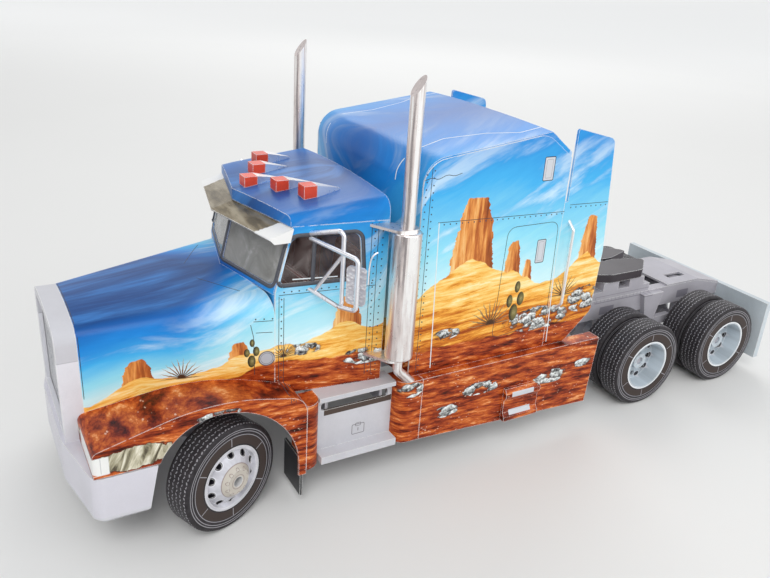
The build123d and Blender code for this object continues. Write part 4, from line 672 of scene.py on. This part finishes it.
def tyrePaint(node, turned, twin):
    def paint(board):
        radius, along, angle = aroundHub(board, node, turned)
        if twin:
            along = abs(along) - tyre["twin"]
        clouds = board.noise(board.spot, 0.6, 3.0)
        color = board.ramp(clouds, (0.3, scaled(tyre["rubber"], 0.7)), (0.7, scaled(tyre["rubber"], 1.5)))
        share = radius / tyre["radius"]
        treadFrom = 1 - tyre["shoulder"] / tyre["radius"]
        tread = board.step(share, treadFrom - 0.004, treadFrom)
        turns = angle * (tyre["zigzags"] / math.tau)
        zigzag = abs(turns.calc("FRACT") - 0.5) * tyre["zigzagDepth"]
        row = abs((along / tyre["row"] + zigzag).calc("FRACT") - 0.5)
        dash = board.step(abs((turns * 2.0 + 0.3).calc("FRACT") - 0.5), *tyre["dash"])
        flat = board.step(abs(along), tyre["treadHalf"] + 0.1, tyre["treadHalf"])
        worn = board.noise(board.spot, 0.35, 2.0) + 0.20
        color = board.over(color, (board.step(row, *tyre["rowLine"]) * dash * flat * tread * worn, tyre["ink"]))
        wall = 1 - tread
        low, high = tyre["band"]
        band = board.step(share, low, low + 0.008) * board.step(share, high + 0.008, high) * wall
        lines = board.step(abs(repeated(angle, radius, tyre["dividers"])), *tyre["dividerLine"]) * band
        for ring in tyre["rings"]:
            lines = lines.calc("MAXIMUM", board.step(abs(share - ring), *tyre["ringLine"]))
        color = board.over(color, (band, tyre["bandInk"]), (lines * wall * 0.85, tyre["ink"]))
        fibre = board.noise(board.spot, 2.2, 3.0, 0.6)
        return color, {"Normal": board.relief(fibre, 0.25, 0.06), "Roughness": 0.46 + (fibre - 0.5) * 0.15}
    return paint


def hubPaint(board, color, radius, angle):  # the printed hub of a front wheel: nuts and rings, with the bore darkened as painted shade
    hub, cap, bore = rim["hub"], rim["cap"], rim["bore"]
    color = board.over(color, (board.step(radius, hub + 0.08, hub - 0.08), rim["hubInk"]))
    nuts = (repeated(angle, radius, rim["nuts"]) ** 2.0 + (radius - rim["nutsAt"]) ** 2.0).calc("SQRT")
    lines = board.step(abs(nuts - rim["nut"]), *rim["nutLine"])
    for ring in (hub, rim["capRing"]):
        lines = lines.calc("MAXIMUM", board.step(abs(radius - ring), *rim["ringLine"]))
    # the bore is darkened as painted shade of the hole at the hub's centre
    return board.over(color, (lines * 0.8, rim["lineInk"]),
                      (board.step(radius, cap + 0.1, cap - 0.05), rim["capInk"]),
                      (board.step(radius, bore, bore - 0.15), rim["boreShade"]))


def rimPaint(node, turned, front):
    def paint(board):
        radius, along, angle = aroundHub(board, node, turned)
        sheen = board.noise(board.vector(angle * 1.5, radius * 0.15), 1.2, 3.0)
        face = rim["face"][front]
        color = board.ramp(sheen, (0.3, scaled(face, 0.72)), (0.7, scaled(face, 1.22)))
        length, width = rim["hole"]
        arc = repeated(angle, radius, rim["holes"], rim["holeTurn"][front])
        hole = (arc / length) ** 2.0 + ((radius - rim["holesAt"]) / width) ** 2.0
        color = board.over(color, (board.step(hole, 1.7, 1.25), rim["holeEdge"]),
                           (board.step(hole, 1.12, 0.9), rim["holeInk"]))
        if front:
            color = hubPaint(board, color, radius, angle)
        lip = board.step(radius, rim["lipFrom"], rim["lipFrom"] + 0.15)
        return printed(board, board.over(color, (lip, rim["lip"][front])), 1.0)
    return paint


parkedSteer = math.radians(22.5)
for side in ("left", "right"):
    wheels = [(f"front_{{}}_{side}", "tyre", "rim", parkedSteer, False)]
    wheels += [(f"drive_{{}}_{number}_{side}", "tyres", "rims", 0.0, True) for number in (1, 2)]
    for name, tyreWord, rimWord, turned, twin in wheels:
        tyreNode, rimNode = name.format(tyreWord), name.format(rimWord)
        rubber = finish(tyreNode, tyrePaint(tyreNode, turned, twin), Specular_IOR_Level=tyre["shine"])
        dress(rubber, tyreNode)
        dress(finish(rimNode, rimPaint(rimNode, turned, not twin)), rimNode)
print("plain cards and wheels made")

# Foil rubbed over card: creases along the tube, and warm and dark bands round it that follow the way the
# surface faces, as painted reflections
foils = {  # dark, middle and pale tone, crease strength
    "stack_foil": ((0.30, 0.27, 0.27), (0.70, 0.62, 0.60), (0.95, 0.94, 0.93), 0.30,
                   ("exhausts", "exhaust_brackets")),
    "tail_foil": ((0.55, 0.54, 0.54), (0.80, 0.78, 0.77), (0.96, 0.96, 0.96), 0.5,
                  ("lamp_tails", "grab_handles")),
    "rod_foil": ((0.42, 0.42, 0.46), (0.72, 0.71, 0.75), (0.93, 0.93, 0.95), 0.25, ("mirror_frames",)),
}
foilMetal = 0.85
foilDepth = 0.12


def foilPaint(dark, middle, pale, strength):
    def paint(board):
        x, y, z = board.place()
        nx, ny, nz = board.facing()
        crease = board.noise(board.vector(x, y, z * 0.3), 0.9, 5.0, 0.6, 0.6)
        # painted reflection: the tones change with the way the surface faces, standing in for what the foil
        # mirrors
        way = board.noise(board.vector(nx * 1.6, abs(ny) * 1.6, z * 0.012 + nz), 1.4, 3.0, 0.6)
        color = board.ramp(way + (crease - 0.5) * 0.10, (0.34, dark), (0.44, middle), (0.55, pale))
        return color, {"Normal": board.relief(crease, strength, foilDepth), "Roughness": 0.22 + crease * 0.14}
    return paint


for name, (dark, middle, pale, strength, dressed) in foils.items():
    dress(finish(name, foilPaint(dark, middle, pale, strength), Metallic=foilMetal), *dressed)

visor = {
    "foil": ((0.10, 0.078, 0.045), (0.20, 0.16, 0.10), (0.36, 0.31, 0.22)), "metal": 0.6,
    "bareFrom": 30.5, "bareFull": 31.1}


def visorPaint(board):  # brown-gold foil with bare white ends
    x, y, z = board.place()
    crease = board.noise(board.vector(x, y * 0.5, z), 0.5, 4.0, 0.6, 0.6)
    sheen = board.noise(board.vector(x, y * 0.22, z), 0.30, 3.0)
    color = board.ramp(sheen + (crease - 0.5) * 0.2, *zip((0.36, 0.48, 0.62), visor["foil"]))
    ends = board.step(abs(y) + (crease - 0.5) * 1.5 + x * 0.10, visor["bareFrom"], visor["bareFull"])
    bare = ends.calc("MAXIMUM", board.cutEdge(sheet["cut"]) * 0.8)
    return board.over(color, (bare, sheet["white"])), {
        "Normal": board.relief(crease, 0.25, foilDepth), "Roughness": 0.26 + bare * 0.3,
        "Metallic": visor["metal"] - bare * visor["metal"]}


dress(finish("visor_foil", visorPaint), "visor")

mirror = {"pale": (0.86, 0.86, 0.88), "dark": (0.52, 0.52, 0.57), "beads": 1.1, "depth": 0.25, "metal": 0.5}


def mirrorPaint(board):  # embossed white foil
    x, y, z = board.place()
    bead = board.cells(board.vector(y, z * 1.3), mirror["beads"])
    # painted shade of the embossing: each bead is pale at its middle and darker towards the gaps between beads
    color = board.ramp(bead, (0.1, mirror["pale"]), (0.6, mirror["dark"]))
    return color, {"Normal": board.relief(1 - bead, 0.8, mirror["depth"]), "Roughness": 0.30 + bead * 0.2}


dress(finish("mirror_foil", mirrorPaint, Metallic=mirror["metal"]), "mirrors")

films = {  # tones, opacity, how much it varies
    "screen_film": (
        ((0.30, (0.20, 0.195, 0.18)), (0.55, (0.30, 0.295, 0.28)), (0.75, (0.52, 0.52, 0.51))), 0.86, 0.3,
        "windshield"),
    "door_film": (((0.35, (0.30, 0.20, 0.19)), (0.8, (0.70, 0.64, 0.62))), 0.10, 0.35, "door_windows"),
}


def filmPaint(tones, opacity, haze):
    def paint(board):
        board.place()
        clouds = board.noise(board.spot, 0.11, 4.0, 0.6, 0.8)
        return board.ramp(clouds, *tones), {
            "Roughness": 0.06 + clouds * 0.10, "Alpha": opacity + (clouds - 0.5) * haze}
    return paint


for name, (tones, opacity, haze, dressed) in films.items():
    dress(finish(name, filmPaint(tones, opacity, haze)), dressed)
print("foil and film made")

# Seams and rivets laid on the cards by ray: each view gives its own pair of numbers for a point
shell = (
    "hood", "fenders", "grille_shell", "cab_sides", "cab_front", "cab_roof", "sleeper_shell", "sleeper_sides",
    "extenders", "skirts", "corner_fairings", "door_windows", "windshield")
views = {  # how a point given in a view is set before the truck, and the way its ray goes
    "left": (lambda a, b: (noseX - a, 70.0, b), (0, -1, 0)),
    "right": (lambda a, b: (noseX - a, -70.0, b), (0, 1, 0)),
    "top": (lambda a, b: (noseX - a, b, 140.0), (0, 0, -1)),
    "front": (lambda a, b: (noseX + 20.0, a, b), (-1, 0, 0)),
}
rayLength = 0.2
seamSettings = {  # Step is the space between rivets, or between the points of a line
    "ink_lines": {"Width": 0.17, "Height": 0.05, "Step": 0.8, "Corner": 3.0, "ink": (0.020, 0.022, 0.030)},
    "rivets": {"Width": 0.46, "Height": 0.09, "Step": 2.1, "Corner": 0.0, "ink": (0.025, 0.035, 0.06)},
    "white_folds": {"Width": 0.34, "Height": 0.05, "Step": 0.8, "Corner": 3.0, "ink": (0.78, 0.84, 0.88)},
    "gaskets": {"Width": 1.15, "Height": 0.16, "Step": 0.5, "Corner": 2.6, "ink": (0.060, 0.062, 0.075)},
}
sideInk = [
    [(104.8, 84.4), (153.0, 82.8)], [(155.0, 84.8), (173.0, 84.2)],
    [(130.0, 44.0), (131.2, 79.8), (151.3, 79.8), (152.2, 44.0), (130.0, 42.0), (130.0, 44.0)],
    [(87.2, 85.5), (87.2, 37.0)], [(85.2, 85.5), (85.2, 37.0)], [(58.6, 66.3), (87.2, 66.3)],
    [(58.6, 65.9), (58.6, 37.0)], [(60.0, 65.4), (60.0, 37.0)], [(6.9, 58.5), (6.9, 40.0)],
    [(50.8, 58.0), (51.6, 54.0), (51.8, 42.0)], [(51.6, 58.9), (57.0, 58.8)], [(52.2, 55.4), (56.8, 55.2)],
    [(99.2, 97.4), (101.6, 98.1), (103.4, 97.2), (106.6, 98.6), (109.0, 97.9), (111.6, 98.6)],
    [(101.4, 35.5), (101.4, 101.0)]]
sideRivets = [
    [(102.2, 36.0), (102.2, 100.0)], [(99.8, 60.0), (99.8, 99.0)], [(86.2, 85.0), (86.2, 38.0)],
    [(88.6, 85.0), (88.6, 38.0)], [(60.0, 67.1), (86.0, 67.1)], [(107.0, 83.6), (152.0, 82.2)],
    [(155.4, 83.9), (172.8, 83.3)], [(59.3, 65.0), (59.3, 38.0)], [(52.2, 59.6), (56.8, 59.4)]]
sideFolds = [[(105.2, 84.4), (106.8, 36.2)], [(152.6, 64.0), (154.0, 36.0)], [(62.4, 70.6), (75.6, 70.2)]]
noseSeam = [(6.9, -14.5), (6.9, 14.5)]
cowlSeam = [(42.0, 6.0), (45.0, 11.0), (48.0, 16.0), (50.4, 19.6)]
roofSeam = [(103.0, 24.8), (113.0, 22.0), (126.0, 25.0), (135.0, 30.0), (149.5, 29.0)]
frontFold = [(23.2, 94.8), (23.6, 98.0), (24.4, 101.2)]
seams = {
    "ink_lines": {"left": sideInk, "right": sideInk,
                  "top": [noseSeam, cowlSeam, [(a, -b) for a, b in cowlSeam]]},
    "rivets": {"left": sideRivets, "right": sideRivets},
    "white_folds": {"left": sideFolds, "right": sideFolds,
                    "top": [roofSeam, [(a, -b) for a, b in roofSeam]],
                    "front": [frontFold, [(-a, b) for a, b in frontFold]]},
}
doorPost = [(68.2, 69.6), (68.6, 83.4)]
gasketOutset = 0.75
gasketPoints = 0.6  # least space between the points kept of an outline


def outlineOf(node, flatten, side):  # the outline of a pane as seen in a view, a little outside it
    spots = [flatten(v.co / mm) for v in nodes[node].data.vertices if v.co.y * side > 0]
    ring = [Vector(spots[i]) for i in convex_hull_2d(spots)]
    centre = sum(ring, Vector((0, 0))) / len(ring)
    kept = [ring[0]]
    for spot in ring[1:]:
        if (spot - kept[-1]).length > gasketPoints:
            kept.append(spot)
    grown = [tuple(spot + (spot - centre).normalized() * gasketOutset) for spot in kept]
    return grown + grown[:1]


seams["gaskets"] = {
    view: [outlineOf("door_windows", lambda p: (noseX - p.x, p.z), side), doorPost]
    for view, side in (("left", 1), ("right", -1))}
seams["gaskets"]["front"] = [outlineOf("windshield", lambda p: (p.y, p.z), side) for side in (1, -1)]


def seamTree(dotted):
    tree = bpy.data.node_groups.new("rivet_rows" if dotted else "printed_seams", "GeometryNodeTree")
    sockets = {"Geometry": "Geometry", "Surface": "Object", "Ray": "Vector", "Step": "Float", "Width": "Float",
               "Height": "Float", "Corner": "Float", "Ink": "Material"}
    for name, kind in sockets.items():
        tree.interface.new_socket(name=name, in_out="INPUT", socket_type="NodeSocket" + kind)
    tree.interface.new_socket(name="Geometry", in_out="OUTPUT", socket_type="NodeSocketGeometry")
    board = Board(tree)

    def given(name):
        return board.node("NodeGroupInput", {}, {}, name)

    # The drawn run, rounded at its corners and cut into even steps
    line = board.node("GeometryNodeMeshToCurve", {}, {"Mesh": given("Geometry")})
    if not dotted:
        line = board.node(
            "GeometryNodeFilletCurve", {"mode": "POLY"},
            {"Curve": line, "Count": 5, "Radius": given("Corner"), "Limit Radius": True})
    line = board.node(
        "GeometryNodeResampleCurve", {"mode": "LENGTH"}, {"Curve": line, "Length": given("Step")})
    # Each point goes along its ray to the card it meets, and is dropped where it meets none
    surface = board.node("GeometryNodeObjectInfo", {}, {"Object": given("Surface")}, "Geometry")
    ray = {"Target Geometry": surface, "Ray Direction": given("Ray"), "Ray Length": rayLength}
    met = {"face": ("FLOAT_VECTOR", "Hit Normal"), "spot": ("FLOAT_VECTOR", "Hit Position"),
           "hit": ("BOOLEAN", "Is Hit")}
    for name, (kind, output) in met.items():
        value = board.node("GeometryNodeRaycast", {}, ray, output)
        line = board.node("GeometryNodeStoreNamedAttribute", {"data_type": kind},
                          {"Geometry": line, "Name": name, "Value": value})
    face, spot, hit = (
        board.node("GeometryNodeInputNamedAttribute", {"data_type": kind}, {"Name": name})
        for name, (kind, output) in met.items())
    line = board.node("GeometryNodeSetPosition", {}, {"Geometry": line, "Position": spot})
    missed = board.node("FunctionNodeBooleanMath", {"operation": "NOT"}, {0: hit})
    line = board.node("GeometryNodeDeleteGeometry", {}, {"Geometry": line, "Selection": missed})
    # Rivet heads on the points, or a flat strip along the line
    if dotted:
        head = board.node(
            "GeometryNodeMeshCylinder", {},
            {"Vertices": 8, "Radius": given("Width") / 2.0, "Depth": given("Height")})
        points = board.node("GeometryNodeCurveToPoints", {"mode": "EVALUATED"}, {"Curve": line})
        turn = board.node("FunctionNodeAlignRotationToVector", {"axis": "Z"}, {"Vector": face})
        made = board.node(
            "GeometryNodeInstanceOnPoints", {}, {"Points": points, "Instance": head, "Rotation": turn})
    else:
        line = board.node("GeometryNodeSetCurveNormal", {"mode": "FREE"}, {"Curve": line, "Normal": face})
        strip = board.node(
            "GeometryNodeCurvePrimitiveQuadrilateral", {}, {"Width": given("Height"), "Height": given("Width")})
        made = board.node(
            "GeometryNodeCurveToMesh", {}, {"Curve": line, "Profile Curve": strip, "Fill Caps": True})
    made = board.node("GeometryNodeRealizeInstances", {}, {"Geometry": made})
    made = board.node("GeometryNodeSetMaterial", {}, {"Geometry": made, "Material": given("Ink")})
    board.node("NodeGroupOutput", {}, {"Geometry": made})
    return tree


def inkPaint(shade):
    def paint(board):
        board.place()
        blot = board.noise(board.spot, 1.4, 3.0)
        pale = tuple(v * 1.5 if v < 0.5 else min(0.9, v * 1.06) for v in shade)
        return board.ramp(blot, (0.3, shade), (0.75, pale)), {"Roughness": 0.36 + blot * 0.2}
    return paint


def meshOf(name, pieces):  # one new mesh from several
    work = bmesh.new()
    for piece in pieces:
        work.from_mesh(piece)
    mesh = bpy.data.meshes.new(name)
    work.to_mesh(mesh)
    work.free()
    return mesh


def linked(name, data):
    made = bpy.data.objects.new(name, data)
    bpy.context.scene.collection.objects.link(made)
    return made


def layRuns(name, view, runs, tree, ink, target):  # the strips or rivets of one view, as a mesh
    toSpot, ray = views[view]
    points, edges = [], []
    for run in runs:
        edges += [(len(points) + i, len(points) + i + 1) for i in range(len(run) - 1)]
        points += [Vector(toSpot(*spot)) * mm for spot in run]
    mesh = bpy.data.meshes.new(name)
    mesh.from_pydata(points, edges, [])
    rough = linked(name, mesh)
    modifier = rough.modifiers.new("lay", "NODES")
    modifier.node_group = tree
    given = {"Surface": target, "Ray": ray, "Ink": ink}
    for key in ("Width", "Height", "Step", "Corner"):
        given[key] = seamSettings[name][key] * mm
    for item in tree.interface.items_tree:
        if item.in_out == "INPUT" and item.name in given:
            modifier[item.identifier] = given[item.name]
    laid = bpy.data.meshes.new_from_object(rough.evaluated_get(bpy.context.evaluated_depsgraph_get()))
    bpy.data.objects.remove(rough)
    return laid


def laySeams():
    target = linked("shell", meshOf("shell", [nodes[name].data for name in shell]))  # what the rays meet
    for name, perView in seams.items():
        tree = seamTree(name == "rivets")
        ink = finish(name, inkPaint(seamSettings[name]["ink"]))
        parts = [layRuns(name, view, runs, tree, ink, target) for view, runs in perView.items()]
        mesh = meshOf(name, parts)
        for part in parts:
            bpy.data.meshes.remove(part)
        for attribute in ("face", "spot", "hit"):
            if attribute in mesh.attributes:
                mesh.attributes.remove(mesh.attributes[attribute])
        mesh.materials.clear()
        mesh.materials.append(ink)
        piece = linked(name, mesh)
        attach(piece, "chassis")
        print(name, len(mesh.polygons), "faces")
    bpy.data.objects.remove(target)


laySeams()
print("seams and rivets laid")

# Thin wire hook on the mirror frame: places aft, across and up
hook = {
    "spots": [(76.5, 46.2, 74.0), (76.4, 46.3, 80.0), (77.3, 46.6, 82.6), (78.6, 46.8, 83.0)], "radius": 0.22}


def bendWire(name, setting, material):
    data = bpy.data.curves.new(name, "CURVE")
    data.dimensions = "3D"
    data.bevel_depth = setting["radius"] * mm
    data.bevel_resolution = 3
    data.use_fill_caps = True
    path = data.splines.new("NURBS")
    path.points.add(len(setting["spots"]) - 1)
    for point, (aft, across, height) in zip(path.points, setting["spots"]):
        point.co = ((noseX - aft) * mm, across * mm, height * mm, 1.0)
    path.order_u = 3
    path.use_endpoint_u = True
    rough = bpy.data.objects.new(name, data)
    mesh = bpy.data.meshes.new_from_object(rough)
    bpy.data.objects.remove(rough)
    mesh.materials.clear()
    mesh.materials.append(material)
    piece = linked(name, mesh)
    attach(piece, "chassis")


bendWire("wire_hook", hook, bpy.data.materials["rod_foil"])
